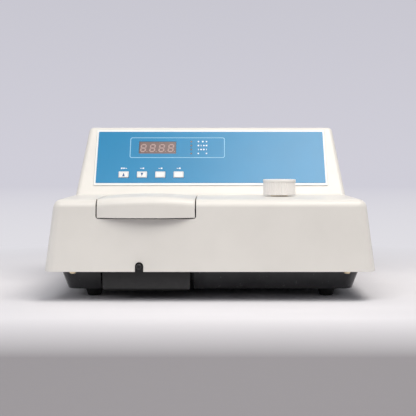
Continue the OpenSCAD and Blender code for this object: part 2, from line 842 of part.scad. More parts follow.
module display_board() {
    color(green) on_slope() difference() {
        block([board_left, board_low, board_top - board_t], [board_right, board_high, board_top]);
        at_pillars() translate([0, 0, board_top - board_t - through])
            cylinder(r = 1.6, h = board_t + 2 * through, $fn = 24);
    }
}

// Hexagonal pillars behind the panel plate and under the main board, with their screws' shanks
module board_pillars() {
    color(brass) {
        on_slope() at_pillars() {
            translate([0, 0, board_top]) cylinder(r = 3, h = -recess - board_top, $fn = 6);
            translate([0, 0, board_top - board_t - 1.6]) cylinder(r = 2.6, h = 1.6, $fn = 24);
            translate([0, 0, board_top - board_t]) cylinder(r = 1.5, h = board_t, $fn = 24);
        }
        at_main_pillars() {
            translate([0, 0, case_top + cover_t]) cylinder(r = 3, h = pillar_h, $fn = 6);
            translate([0, 0, main_z]) cylinder(r = 1.5, h = board_t, $fn = 24);
            translate([0, 0, main_z + board_t]) cylinder(r = 2.6, h = 1.6, $fn = 24);
        }
    }
}

key_flange_low = -recess - 1;
plunger_h = 0.7;
tact_h = key_flange_low - key_travel - 0.1 - plunger_h - board_top;   // 0.1 mm short of the pressed key

module tact_switches() {
    color([0.15, 0.15, 0.16]) on_slope() at_keys() translate([0, 0, board_top]) {
        translate([-3, -3, 0]) cube([6, 6, tact_h]);
        translate([0, 0, tact_h]) cylinder(r = 1.7, h = plunger_h, $fn = 24);
    }
}

module status_leds() {
    color([0.85, 0.62, 0.42]) on_slope() at_leds() rotate_extrude($fn = 24) polygon(concat(
        [[0, board_top], [led_r + 0.4, board_top], [led_r + 0.4, board_top + 1], [led_r, board_top + 1]],
        arc(led_r, 0, 90, 5, [0, plate_proud - led_r + 0.7])));
}

// A key cap with a hidden flange that stops it under the plate
module key_cap(i) {
    flange_z = key_flange_low + 0.9;
    color([0.90, 0.90, 0.90]) on_slope() translate([-key_first + i * key_pitch, key_up, 0]) {
        translate([0, 0, key_flange_low]) linear_extrude(0.9) polygon(rounded(key_w + 1.6, key_h + 1.6, 0.8));
        translate([0, 0, flange_z]) linear_extrude(plate_proud + overlay_t + 0.7 - flange_z)
            polygon(rounded(key_w, key_h, 0.8));
    }
}

// ---------- tuning knob and gearing ----------

bush_r = 5;
knob_low = deck_z + knob_gap;
knob_top = knob_low + knob_h;
skirt_h = 2;                             // plain band below the flutes
rim_h = 3.2;                             // plain rim above the flutes
rim_out = 0.6;                           // how far the rim stands out past the lower edge
rim_round = 0.9;
knob_roof = 3.2;                         // thickness of the knob's top
flute = 0.5;                             // depth of a flute

// Outline with shallow V grooves between flat ridges
function flute_outline(r, depth, n) = [for (i = [0:n - 1], k = [0:3])
    let (a = 360 / n * (i + [0, 0.5, 0.65, 0.85][k]), q = r - [0, 0, depth, depth][k])
    [q * cos(a), q * sin(a)]];

module tuning_knob() {
    inner = knob_r - 3.5;
    rim_r = knob_r + rim_out;
    color([0.93, 0.91, 0.90]) translate([knob_x, knob_y, 0]) difference() {
        union() {
            translate([0, 0, knob_low]) cylinder(r = knob_r, h = skirt_h);
            translate([0, 0, knob_low + skirt_h - through])
                linear_extrude(knob_h - skirt_h - rim_h + 2 * through)
                    polygon(flute_outline(knob_r + rim_out / 2, flute, knob_flutes));
            translate([0, 0, knob_top - rim_h]) rotate_extrude() polygon(concat([[0, 0], [rim_r, 0]],
                arc(rim_round, 0, 90, 5, [rim_r - rim_round, rim_h - rim_round]), [[0, rim_h]]));
        }
        difference() {
            translate([0, 0, knob_low - through]) cylinder(r = inner, h = knob_h - knob_roof + through);
            cylinder(r = shaft_r + 4, h = knob_top);
        }
        translate([0, 0, knob_low - through]) cylinder(r = shaft_r + 4 + through, h = through + 1.5);
        translate([0, 0, knob_low - through]) cylinder(r = shaft_r, h = knob_h - knob_roof + through);
    }
}

grating_y = knob_y + (pinion_teeth + sector_teeth) * gear_module / 2;
gear_z = beam_z + grating_w / 2 + 3;
case_floor = floor_z + 3;
case_top = deck_under - 18;
cover_t = 2.5;

module knob_shaft() {
    color(steel) translate([knob_x, knob_y, floor_z + 5])
        cylinder(r = shaft_r, h = knob_top - knob_roof - floor_z - 5);
}

module knob_bush() {
    color(brass) translate([knob_x, knob_y, 0]) difference() {
        union() {
            translate([0, 0, deck_z]) cylinder(r = 11, h = 1.2);
            translate([0, 0, deck_under - 5]) cylinder(r = bush_r, h = wall + 5);
            translate([0, 0, deck_under - 3]) cylinder(r = 8, h = 3, $fn = 6);
        }
        translate([0, 0, deck_under - 10]) cylinder(r = shaft_r + run, h = 30);
    }
}

function involute(a) = tan(a) * 180 / PI - a;
// Half of a tooth's angle at radius r, thinned at the pitch circle by slack (mm)
function tooth_half(teeth, r, slack) =
    let (pitch_r = teeth * gear_module / 2, base_r = pitch_r * cos(20))
    90 / teeth - slack / pitch_r * 180 / PI + involute(20) - involute(acos(min(1, base_r / r)));
function polar(r, a) = [r * cos(a), r * sin(a)];
// One tooth, centred on angle at
function tooth(teeth, at, slack, up, down) =
    let (pitch_r = teeth * gear_module / 2, tip = pitch_r + up, root = pitch_r - down,
        foot = max(root, pitch_r * cos(20)), steps = 4, foot_half = tooth_half(teeth, foot, slack),
        radii = [for (i = [0:steps]) foot + (tip - foot) * i / steps])
    concat(
        [polar(root, at - foot_half)],
        [for (r = radii) polar(r, at - tooth_half(teeth, r, slack))],
        [for (r = reversed(radii)) polar(r, at + tooth_half(teeth, r, slack))],
        [polar(root, at + foot_half)]);

addendum = 0.8 * gear_module;
dedendum = 1.1 * gear_module;
tooth_slack = 0.06;

module drive_pinion() {
    color(brass) translate([knob_x, knob_y, gear_z - 1]) difference() {
        union() {
            linear_extrude(gear_t + 2) polygon([for (i = [0:pinion_teeth - 1])
                each tooth(pinion_teeth, 90 + i * 360 / pinion_teeth, tooth_slack, addendum, dedendum)]);
            translate([0, 0, -6]) cylinder(r = shaft_r + 2.5, h = 6);
        }
        translate([0, 0, -10]) cylinder(r = shaft_r, h = 30);
    }
}

sector_reach = 7;                        // teeth on each side of the sector's middle

module grating_sector() {
    root = sector_teeth * gear_module / 2 - dedendum;
    rim = root - 6;
    half = (sector_reach) * 360 / sector_teeth;
    color(brass) translate([knob_x, grating_y, gear_z]) difference() {
        linear_extrude(gear_t) union() {
            difference() {
                polygon(concat(
                    [for (i = [-sector_reach:sector_reach - 1]) each tooth(sector_teeth,
                        -90 + (i + 0.5) * 360 / sector_teeth, tooth_slack, addendum, dedendum)],
                    arc(rim, -90 + half, -90 - half, 10)));
            }
            for (lean = [-half * 0.8, half * 0.8])
                rotate([0, 0, lean]) translate([-2.5, -rim - 1]) square([5, rim + 1]);
            circle(r = shaft_r + 5);
        }
        translate([0, 0, -through]) cylinder(r = shaft_r, h = gear_t + 2 * through);
    }
}

grating_face = 180 - arm_angle / 2;      // direction that the grating faces at rest

// The turntable that carries the grating between two stub axles
module grating_table() {
    low = beam_z - grating_w / 2;
    high = low + grating_w + 2;
    color([0.2, 0.2, 0.21]) translate([knob_x, grating_y, 0]) {
        translate([0, 0, floor_z + 5]) cylinder(r = shaft_r, h = low - 4 - floor_z - 5);
        translate([0, 0, low - 4]) cylinder(r = 14, h = 4);
        rotate([0, 0, grating_face]) translate([-10, -grating_w / 2, low - 1])
            cube([4, grating_w, grating_w + 2]);
        translate([0, 0, high - 2]) cylinder(r = 11, h = 2);
        translate([0, 0, high]) cylinder(r = shaft_r, h = case_top + cover_t - high);
    }
}

module diffraction_grating() {
    color(glass) translate([knob_x, grating_y, beam_z - grating_w / 2]) rotate([0, 0, grating_face])
        translate([-6, -grating_w / 2, 0]) cube([6, grating_w, grating_w]);
}

// ---------- monochromator ----------

case_wall = 3;
case_left = bay_side[1] + lug_out + case_gap;
arm = knob_x - case_left - case_wall;    // length of the light path on each side of the grating
case_right = knob_x + 34;
case_front = knob_y - 25;
slit_w = 18;                             // width and height of a slit plate
slit_t = 0.8;
exit_room = 14.4;                        // from the exit slit's middle back to the case's rear face
// Deep enough for the exit slit and for the board on top
case_back = grating_y + max(70, arm * sin(arm_angle) + exit_room);

// Children moved to the end of the exit light path, with +X along it
module at_exit(distance) {
    translate([knob_x, grating_y, 0]) rotate([0, 0, 180 - arm_angle]) translate([distance, 0, 0]) children();
}

// The case's plan form, moved inwards by inset, between two heights
module case_form(inset, low, high) {
    intersection() {
        block([case_left + inset, case_front + inset, low], [case_right - inset, case_back - inset, high]);
        at_exit(-500 + arm + case_wall - inset) translate([0, -250, low]) cube([500, 500, high - low]);
    }
}

// Children at each screw of the case's cover
module at_case_pads() {
    for (p = [[case_right - 7, case_front + 7], [case_left + 7, case_front + 7],
            [case_right - 7, case_back - 7], [case_left + 7, grating_y + 18]])
        translate([p[0], p[1], 0]) children();
}

module monochromator_case() {
    color([0.16, 0.16, 0.17]) difference() {
        union() {
            difference() {
                case_form(0, floor_z, case_top);
                case_form(case_wall, case_floor, case_top + through);
            }
            intersection() {
                case_form(0, floor_z, case_top);
                at_case_pads() cylinder(r = 5, h = case_top);
            }
            for (y = [knob_y, grating_y]) translate([knob_x, y, floor_z]) cylinder(r = shaft_r + 4, h = 9);
        }
        for (y = [knob_y, grating_y]) translate([knob_x, y, floor_z + 5]) cylinder(r = shaft_r + run, h = 10);
        at_case_pads() translate([0, 0, case_top - 12]) cylinder(r = 1.5, h = 20);
        rod_x(5, case_left - through, case_left + case_wall + through, grating_y, beam_z);
        at_exit(arm - through) translate([0, 0, beam_z]) rotate([0, 90, 0])
            cylinder(r = 5, h = case_wall + 3 * through);
    }
}

module monochromator_cover() {
    color([0.16, 0.16, 0.17]) difference() {
        case_form(0, case_top, case_top + cover_t);
        for (y = [knob_y, grating_y]) translate([knob_x, y, case_top - through])
            cylinder(r = shaft_r + run, h = 10);
        at_case_pads() translate([0, 0, case_top - through]) cylinder(r = 1.6, h = 10);
    }
}

module slit_plate() {
    difference() {
        translate([0, -slit_w / 2, -slit_w / 2]) cube([slit_t, slit_w, slit_w]);
        translate([-through, -0.5, -5]) cube([slit_t + 2 * through, 1, 10]);
    }
}

// Entrance and exit slits, on the inside of the case's walls
module slit_plates() {
    color(steel) {
        translate([case_left + case_wall, grating_y, beam_z]) slit_plate();
        at_exit(arm - slit_t) translate([0, 0, beam_z]) slit_plate();
    }
}

mirror_w = 26;

module fold_frame() {
    translate([cell_pos_x, grating_y, 0]) rotate([0, 0, 45]) children();
}

module fold_mirror() {
    color(glass) fold_frame() translate([-mirror_w / 2, 0, beam_z - mirror_w / 2])
        cube([mirror_w, 3, mirror_w]);
}

module mirror_mount() {
    color([0.2, 0.2, 0.21]) fold_frame() {
        translate([-mirror_w / 2, 3, floor_z]) cube([mirror_w, 4, beam_z + mirror_w / 2 - floor_z]);
        translate([-mirror_w / 2, 7, floor_z]) cube([mirror_w, 10, 4]);
        translate([-mirror_w / 2, 0, floor_z]) cube([mirror_w, 3, beam_z - mirror_w / 2 - floor_z]);
    }
}

// ---------- lamp and sample optics ----------

house_d = 54;
house_t = 1.5;
house_top = chamber_top - 4;
house_l = -side_x(house_top) + wall + 5;
house_r = chamber_l - 2;
barrel_long = 18;
barrel_start = chamber_l + chamber_t - barrel_long + 3;
lamp_x = (house_l + barrel_start) / 2;

// Ventilated sheet box round the lamp
module lamp_house() {
    y0 = beam_y - house_d / 2;
    y1 = beam_y + house_d / 2;
    slots = 6;
    pitch = house_d / (slots + 2);
    color(steel) difference() {
        block([house_l, y0, floor_z], [house_r, y1, house_top]);
        block([house_l + house_t, y0 + house_t, floor_z + house_t],
            [house_r - house_t, y1 - house_t, house_top - house_t]);
        rod_x(barrel_r, barrel_start, chamber_l, beam_y, beam_z);
        for (i = [1:slots]) let (y = y0 + i * pitch) {
            block([house_l + 8, y, house_top - 5], [house_r - 8, y + pitch / 2, house_top + 5]);
            block([house_l - 5, y, floor_z + 6], [house_l + 5, y + pitch / 2, floor_z + 26]);
        }
    }
}

holder_h = 16;

module lamp_holder() {
    color([0.92, 0.90, 0.84]) translate([lamp_x, beam_y, floor_z + house_t]) difference() {
        cylinder(r = 9, h = holder_h);
        translate([0, 0, holder_h - 5]) cylinder(r = 4.7, h = 10);
    }
}

module halogen_lamp() {
    low = floor_z + house_t + holder_h - 5;
    color(glass) translate([lamp_x, beam_y, low]) rotate_extrude() polygon(concat(
        [[0, 0], [4.6, 0], [4.6, 7], [6, 9]],
        arc(6, 0, 60, 5, [0, beam_z - low + 4]), [[1.2, beam_z - low + 10.5], [0, beam_z - low + 11]]));
}

// A plain tube along X with an inner step that its lens rests on
module barrel(length) {
    rotate([0, 90, 0]) difference() {
        cylinder(r = barrel_r, h = length);
        translate([0, 0, -through]) cylinder(r = barrel_r - 3, h = length + 2 * through);
        translate([0, 0, -through]) cylinder(r = barrel_r - 1.7, h = length / 2 + through);
    }
}

module at_condenser() {
    translate([barrel_start, beam_y, beam_z]) children();
}

module at_emission() {
    translate([cell_pos_x, chamber_back - chamber_t + barrel_long - 4, beam_z])
        rotate([0, 0, -90]) children();
}

module lens_barrels() {
    color([0.12, 0.12, 0.13]) {
        at_condenser() barrel(barrel_long);
        at_emission() barrel(barrel_long);
    }
}

module lens() {
    r = barrel_r - 1.7;
    bulge = 2;
    rotate([0, 90, 0]) rotate_extrude() polygon(concat(
        [for (i = [0:6]) [r * i / 6, 4.5 + bulge * (1 - i * i / 36)]], [[r, 2.5], [0, 2.5]]));
}

module lenses() {
    color(glass) {
        at_condenser() translate([barrel_long / 2, 0, 0]) mirror([1, 0, 0]) translate([-2.5, 0, 0]) lens();
        at_emission() translate([barrel_long / 2, 0, 0]) mirror([1, 0, 0]) translate([-2.5, 0, 0]) lens();
    }
}

holder_top = beam_z + 25;
pocket_low = beam_z - 15;

module cuvette_holder() {
    half = cell_block / 2;
    pocket = cell_w / 2;
    low = foot_h + chamber_t;
    color([0.14, 0.14, 0.15]) translate([cell_pos_x, beam_y, 0]) difference() {
        union() {
            block([-half, -half, low], [half, half, holder_top]);
            block([-half, -half - 8, low], [half, half + 8, low + 4]);
        }
        block([-pocket, -pocket, pocket_low], [pocket, pocket, holder_top + through]);
        rod_x(4.5, -half - through, half + through, 0, beam_z);
        rod_y(4.5, 0, half + through, 0, beam_z);
        for (y = [-half - 4, half + 4]) translate([0, y, low - through]) cylinder(r = 1.6, h = 10);
    }
}

slide_t = 4;
slide_low = foot_h + chamber_t + 9;
filter_pitch = 2 * filter_r + 4;         // also the slide's travel
slide_front = beam_y - filter_r - 3;
slide_back = beam_y + filter_pitch + filter_r + 3;
boss_out = 5.5;

// Children at each filter's centre
module at_filters() {
    for (y = [beam_y, beam_y + filter_pitch]) translate([rod_x_pos, y, beam_z]) children();
}

module filter_slide() {
    color([0.18, 0.18, 0.19]) difference() {
        union() {
            block([rod_x_pos - slide_t / 2, slide_front, slide_low],
                [rod_x_pos + slide_t / 2, slide_back, beam_z + filter_r + 7]);
            rod_y(boss_out, slide_front, slide_front + 10, rod_x_pos, rod_z);
        }
        rod_y(rod_r, slide_front - through, slide_front + 6, rod_x_pos, rod_z);
        at_filters() rotate([0, 90, 0]) {
            translate([0, 0, -slide_t / 2 + 1]) cylinder(r = filter_r, h = slide_t);
            translate([0, 0, -slide_t]) cylinder(r = filter_r - 1, h = 2 * slide_t);
        }
    }
}

module excitation_filters() {
    color([0.25, 0.22, 0.45]) at_filters() rotate([0, 90, 0])
        translate([0, 0, -slide_t / 2 + 1]) cylinder(r = filter_r, h = 2.5);
}

module slide_rod() {
    color([0.08, 0.08, 0.08]) translate([rod_x_pos, -rod_out, rod_z]) rotate([-90, 0, 0]) rotate_extrude()
        polygon([[0, 1], [1.2, 1], [1.2, 0], [rod_r - 0.8, 0], [rod_r, 0.8],
            [rod_r, slide_front + 6 + rod_out], [0, slide_front + 6 + rod_out]]);
}

module slide_guide() {
    low = foot_h + chamber_t;
    front = slide_front - filter_pitch - 2;
    color([0.75, 0.75, 0.76]) difference() {
        block([rod_x_pos - 8, front, low], [rod_x_pos + 8, slide_back + 2, slide_low + 8]);
        block([rod_x_pos - slide_t / 2 - 0.15, front - through, slide_low - seat],
            [rod_x_pos + slide_t / 2 + 0.15, slide_back + 4, slide_low + 20]);
    }
}

module rod_bush() {
    color(brass) difference() {
        union() {
            rod_y(bush_out_r, chamber_front - 1.5, chamber_front + chamber_t, rod_x_pos, rod_z);
            rod_y(bush_out_r + 2, chamber_front - 1.5, chamber_front, rod_x_pos, rod_z);
        }
        rod_y(rod_r + run, chamber_front - 5, chamber_front + 10, rod_x_pos, rod_z);
    }
}

// ---------- detector ----------

shield_r = tube_r + 5;
tube_x = knob_x + (arm + case_wall + shield_r + 5) * cos(180 - arm_angle);
tube_y = grating_y + (arm + case_wall + shield_r + 5) * sin(180 - arm_angle);
shield_h = 84;
socket_h = 12;                           // height of the photomultiplier's socket

module pmt_shield() {
    color([0.62, 0.62, 0.60]) difference() {
        union() {
            translate([tube_x, tube_y, floor_z]) cylinder(r = shield_r, h = shield_h);
            at_exit(arm + case_wall) translate([0, -12, beam_z - 14]) cube([12, 24, 28]);
        }
        translate([tube_x, tube_y, floor_z - through]) cylinder(r = shield_r - 2, h = shield_h - 2 + through);
        at_exit(arm + case_wall - through) translate([0, 0, beam_z]) rotate([0, 90, 0])
            cylinder(r = 6, h = 16);
    }
}

module photomultiplier() {
    color([0.35, 0.30, 0.30]) translate([tube_x, tube_y, floor_z]) union() {
        cylinder(r = shield_r - 2.2, h = socket_h);
        translate([0, 0, socket_h]) cylinder(r = tube_r, h = shield_h - socket_h - tube_r - 4);
        translate([0, 0, shield_h - tube_r - 4]) rotate_extrude()
            polygon(concat([[0, 0]], arc(tube_r, 0, 90, 6)));
    }
}

// ---------- electronics ----------

main_front = grating_y + 14;
main_back = grating_y + 62;
main_right = case_right - 4;
// X at which the monochromator's slanted wall passes under the board's rear edge
main_left = knob_x - (arm + case_wall - (main_back - grating_y) * sin(arm_angle)) / cos(arm_angle) + 6;
pillar_h = 7;
main_z = case_top + cover_t + pillar_h;

module at_main_pillars() {
    for (x = [main_left + 5, main_right - 5], y = [main_front + 5, main_back - 5])
        translate([x, y, 0]) children();
}

// The board on top of the monochromator, with its capacitors, heat sink, relay and terminal strip
module main_board() {
    top = main_z + board_t;
    fin = 5;
    color(green) difference() {
        union() {
            block([main_left, main_front, main_z], [main_right, main_back, top]);
            for (i = [0:1]) translate([main_right - 24 - i * 17, main_back - 12, top])
                cylinder(r = 7, h = 25);
            block([main_right - 42, main_front + 10, top], [main_right - 39, main_front + 32, top + 22]);
            for (i = [0:3]) block([main_right - 39, main_front + 10 + i * fin, top],
                [main_right - 27, main_front + 11.5 + i * fin, top + 22]);
            block([main_left + 12, main_front + 8, top], [main_left + 28, main_front + 36, top + 15]);
            block([main_right - 22, main_front + 12, top], [main_right - 14, main_front + 34, top + 9]);
        }
        at_main_pillars() translate([0, 0, main_z - through]) cylinder(r = 1.6, h = 10, $fn = 24);
    }
}

// Laminated core with its winding and a clamping foot, at the left behind the lamp
module power_transformer() {
    x0 = -side_x(floor_z) + wall + 12;
    y0 = bay_back + 22;
    w = 54;
    d = 62;
    h = 46;
    core = 14;
    color([0.45, 0.36, 0.25]) union() {
        block([x0 + 12, y0, floor_z + 4], [x0 + w - 12, y0 + d, floor_z + h]);
        block([x0, y0 + core, floor_z + core], [x0 + w, y0 + d - core, floor_z + h - 8]);
        block([x0 + 6, y0 - 6, floor_z], [x0 + w - 6, y0 + d + 6, floor_z + 4]);
    }
}

// ---------- rear panel ----------

panel_y = back_y(rear_cut_top + 3) - wall - 0.5;    // outer face of the rear panel
panel_t = 1.5;
rear_half = rear_cut_half + 4;
rear_z = floor_z + panel_t + 1.5 + fan_w / 2;        // height of the fan's and connectors' centres
fan_x = -rear_half + fan_w / 2 + 12;
inlet_x = rear_half - 60;
switch_x = rear_half - 105;
fuse_x = rear_half - 22;
switch_bezel = [15, 21];
fan_hub_r = 13;

module fan_grille() {
    for (ring = [[11, 8], [18, 13], [25, 18]]) for (i = [0:ring[1] - 1])
        translate([fan_x, panel_y - 5, rear_z]) rotate([-90, 0, 0]) rotate([0, 0, i * 360 / ring[1]])
            translate([ring[0], 0, 0]) cylinder(r = 2.6, h = 10, $fn = 20);
}

module at_fan_screws() {
    hole = fan_w / 2 - 5;
    for (x = [-hole, hole], z = [-hole, hole]) translate([fan_x + x, 0, rear_z + z]) children();
}

module at_panel_screws() {
    for (x = [-rear_half + 12, 0, rear_half - 12]) translate([x, panel_y - 8, 0]) children();
}

module rear_panel() {
    top = rear_cut_top + 3;
    color([0.17, 0.17, 0.18]) difference() {
        union() {
            block([-rear_half, panel_y - panel_t, floor_z], [rear_half, panel_y, top]);
            block([-rear_half, panel_y - 14, floor_z], [rear_half, panel_y, floor_z + panel_t]);
        }
        fan_grille();
        at_panel_screws() translate([0, 0, floor_z - through]) cylinder(r = 1.6, h = 10);
        at_fan_screws() rod_y(1.7, panel_y - 5, panel_y + 5, 0, 0);
        block([inlet_x - 14, panel_y - 5, rear_z - 10.5], [inlet_x + 14, panel_y + 5, rear_z + 10.5]);
        block([switch_x - 6.5, panel_y - 5, rear_z - 9.6], [switch_x + 6.5, panel_y + 5, rear_z + 9.6]);
        rod_y(6.2, panel_y - 5, panel_y + 5, fuse_x, rear_z);
    }
}

module fan_frame() {
    front = panel_y - panel_t - fan_d;
    color([0.09, 0.09, 0.09]) difference() {
        union() {
            translate([fan_x, panel_y - panel_t, rear_z]) rotate([90, 0, 0]) difference() {
                linear_extrude(fan_d) polygon(rounded(fan_w, fan_w, 4));
                translate([0, 0, -through]) cylinder(r = fan_w / 2 - 2, h = fan_d + 2 * through);
            }
            for (a = [45, 165, 285]) translate([fan_x, front, rear_z]) rotate([0, a, 0])
                block([0, 0, -1.5], [fan_w / 2 - 1, 2.5, 1.5]);
            rod_y(fan_hub_r, front, front + 2.5, fan_x, rear_z);
            rod_y(1.6, front + 2.4, front + 8, fan_x, rear_z);
        }
        at_fan_screws() rod_y(1.7, front - 5, panel_y + 5, 0, 0);
    }
}

// Hub and pitched blades, turning on the frame's spindle
module fan_rotor() {
    front = panel_y - panel_t - fan_d + 3;
    long = fan_d - 5;
    tip = fan_w / 2 - 3.2;
    color([0.12, 0.12, 0.12]) translate([fan_x, front, rear_z]) rotate([-90, 0, 0]) difference() {
        union() {
            cylinder(r = fan_hub_r, h = long);
            intersection() {
                cylinder(r = tip, h = long);
                for (i = [0:fan_blades - 1]) rotate([0, 0, i * 360 / fan_blades])
                    translate([fan_hub_r - 2, 0, long / 2]) rotate([38, 0, 0])
                        translate([0, -10, -0.8]) cube([tip, 20, 1.6]);
            }
        }
        translate([0, 0, -through]) cylinder(r = 1.65, h = 6.5 + through);
    }
}

inlet_deep = 20;

// Recessed mains inlet with three flat pins
module power_inlet() {
    color([0.07, 0.07, 0.07]) translate([inlet_x, panel_y, rear_z]) {
        difference() {
            union() {
                translate([-25, 0, -12]) cube([50, 2.5, 24]);
                translate([-13.8, -inlet_deep, -10.2]) cube([27.6, inlet_deep + 1, 20.4]);
            }
            translate([-12.2, -inlet_deep + 3, -8.2]) cube([24.4, inlet_deep + 3, 16.4]);
            for (x = [-20, 20]) translate([x, -5, 0]) rotate([-90, 0, 0]) cylinder(r = 1.6, h = 10);
        }
        for (p = [[-7, 0], [7, 0], [0, 4]]) translate([p[0] - 1, -inlet_deep + 2, p[1] - 2]) cube([2, 14, 4]);
    }
}

rocker_pivot = -3;                       // depth of the rocker's axle behind the panel

module switch_body() {
    color([0.07, 0.07, 0.07]) translate([switch_x, panel_y, rear_z]) difference() {
        union() {
            translate([-switch_bezel[0] / 2, 0, -switch_bezel[1] / 2])
                cube([switch_bezel[0], 2, switch_bezel[1]]);
            translate([-6.3, -18, -9.4]) cube([12.6, 18.5, 18.8]);
        }
        translate([-5.2, -8, -8.2]) cube([10.4, 15, 16.4]);
        rod_x(axle_r + run, -axle_half - 0.2, axle_half + 0.2, rocker_pivot, 0);
    }
}

rocker_tilt = 8;
axle_r = 1.4;
axle_half = 5.7;

// The rocker, tilted to its off side, on an axle along X
module power_rocker() {
    color([0.55, 0.06, 0.05]) translate([switch_x, panel_y + rocker_pivot, rear_z])
            rotate([rocker_tilt, 0, 0]) {
        rotate([90, 0, 90]) translate([0, 0, -4.9]) linear_extrude(9.8)
            polygon([[-2, -7.2], [5.4, -7.4], [4.6, 0], [5.4, 7.4], [-2, 7.2], [-3.4, 0]]);
        rod_x(axle_r, -axle_half, axle_half, 0, 0);
    }
}

module fuse_holder() {
    color([0.08, 0.08, 0.08]) translate([fuse_x, panel_y, rear_z]) rotate([-90, 0, 0]) {
        translate([0, 0, -24]) cylinder(r = 6, h = 24);
        difference() {
            union() {
                cylinder(r = 8.5, h = 2);
                translate([0, 0, 2]) cylinder(r = 6, h = 3.8);
            }
            translate([-5, -0.6, 4.6]) cube([10, 1.2, 3]);
        }
    }
}

placed() top_cover();
placed() base_tray();
placed() chassis_plate();
placed() rubber_feet();
placed() foot_screws();
placed() cover_screws();
placed() machine_screws();
placed() sample_chamber();
placed() chamber_surround();
placed() lid_gasket();
placed() sample_lid();
placed() hinge_pin();
placed() hinge_brackets();
placed() panel_plate();
placed() panel_overlay();
placed() display_module();
placed() display_segments();
placed() display_board();
placed() board_pillars();
placed() tact_switches();
placed() status_leds();
placed() key_cap(0);  // key_1
placed() key_cap(1);  // key_2
placed() key_cap(2);  // key_3
placed() key_cap(3);  // key_4
placed() tuning_knob();
placed() knob_shaft();
placed() knob_bush();
placed() drive_pinion();
placed() grating_sector();
placed() grating_table();
placed() diffraction_grating();
placed() monochromator_case();
placed() monochromator_cover();
placed() slit_plates();
placed() fold_mirror();
placed() mirror_mount();
placed() lamp_house();
placed() lamp_holder();
placed() halogen_lamp();
placed() lens_barrels();
placed() lenses();
placed() cuvette_holder();
placed() filter_slide();
placed() excitation_filters();
placed() slide_rod();
placed() slide_guide();
placed() rod_bush();
placed() pmt_shield();
placed() photomultiplier();
placed() main_board();
placed() power_transformer();
placed() rear_panel();
placed() fan_frame();
placed() fan_rotor();
placed() power_inlet();
placed() switch_body();
placed() power_rocker();
placed() fuse_holder();
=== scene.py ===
"""Looks of a benchtop fluorometer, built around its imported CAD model.

Metres throughout, in the frame of the model: +Z up, front towards -Y, origin on the bench.
"""

import json
import math

import bpy
from mathutils import Matrix, Vector


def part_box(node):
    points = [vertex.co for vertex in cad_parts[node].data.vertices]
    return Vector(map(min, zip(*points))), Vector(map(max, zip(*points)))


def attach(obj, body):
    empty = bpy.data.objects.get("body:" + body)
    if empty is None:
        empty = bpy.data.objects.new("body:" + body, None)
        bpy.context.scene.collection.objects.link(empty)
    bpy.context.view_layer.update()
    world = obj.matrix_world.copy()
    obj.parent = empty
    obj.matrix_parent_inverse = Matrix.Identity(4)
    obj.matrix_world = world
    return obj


MM = 0.001
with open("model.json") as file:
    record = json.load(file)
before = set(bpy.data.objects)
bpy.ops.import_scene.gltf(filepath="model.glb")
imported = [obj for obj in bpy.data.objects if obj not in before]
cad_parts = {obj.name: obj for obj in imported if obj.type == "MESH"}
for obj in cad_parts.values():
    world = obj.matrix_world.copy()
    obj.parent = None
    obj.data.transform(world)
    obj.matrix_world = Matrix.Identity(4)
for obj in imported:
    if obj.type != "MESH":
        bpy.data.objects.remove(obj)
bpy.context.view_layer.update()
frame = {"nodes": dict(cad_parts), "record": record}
nodes = frame["nodes"]

# ---------- the sloped panel's own frame ----------

SLOPE_LEAN = math.radians(32.5)          # lean of the sloped face from the vertical
SLOPE_UP = Vector((0, math.sin(SLOPE_LEAN), math.cos(SLOPE_LEAN)))
SLOPE_OUT = Vector((0, -math.cos(SLOPE_LEAN), math.sin(SLOPE_LEAN)))

OVERLAY_T = 0.4 * MM
_, overlay_high = (Vector(corner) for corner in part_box("panel_overlay"))
# The highest corner of a leaning slab has the Z of its outer face and the Y of its inner one
panel_top = Vector((0, overlay_high.y, overlay_high.z)) + Vector((0, SLOPE_OUT.y * OVERLAY_T, 0))


# ---------- materials ----------


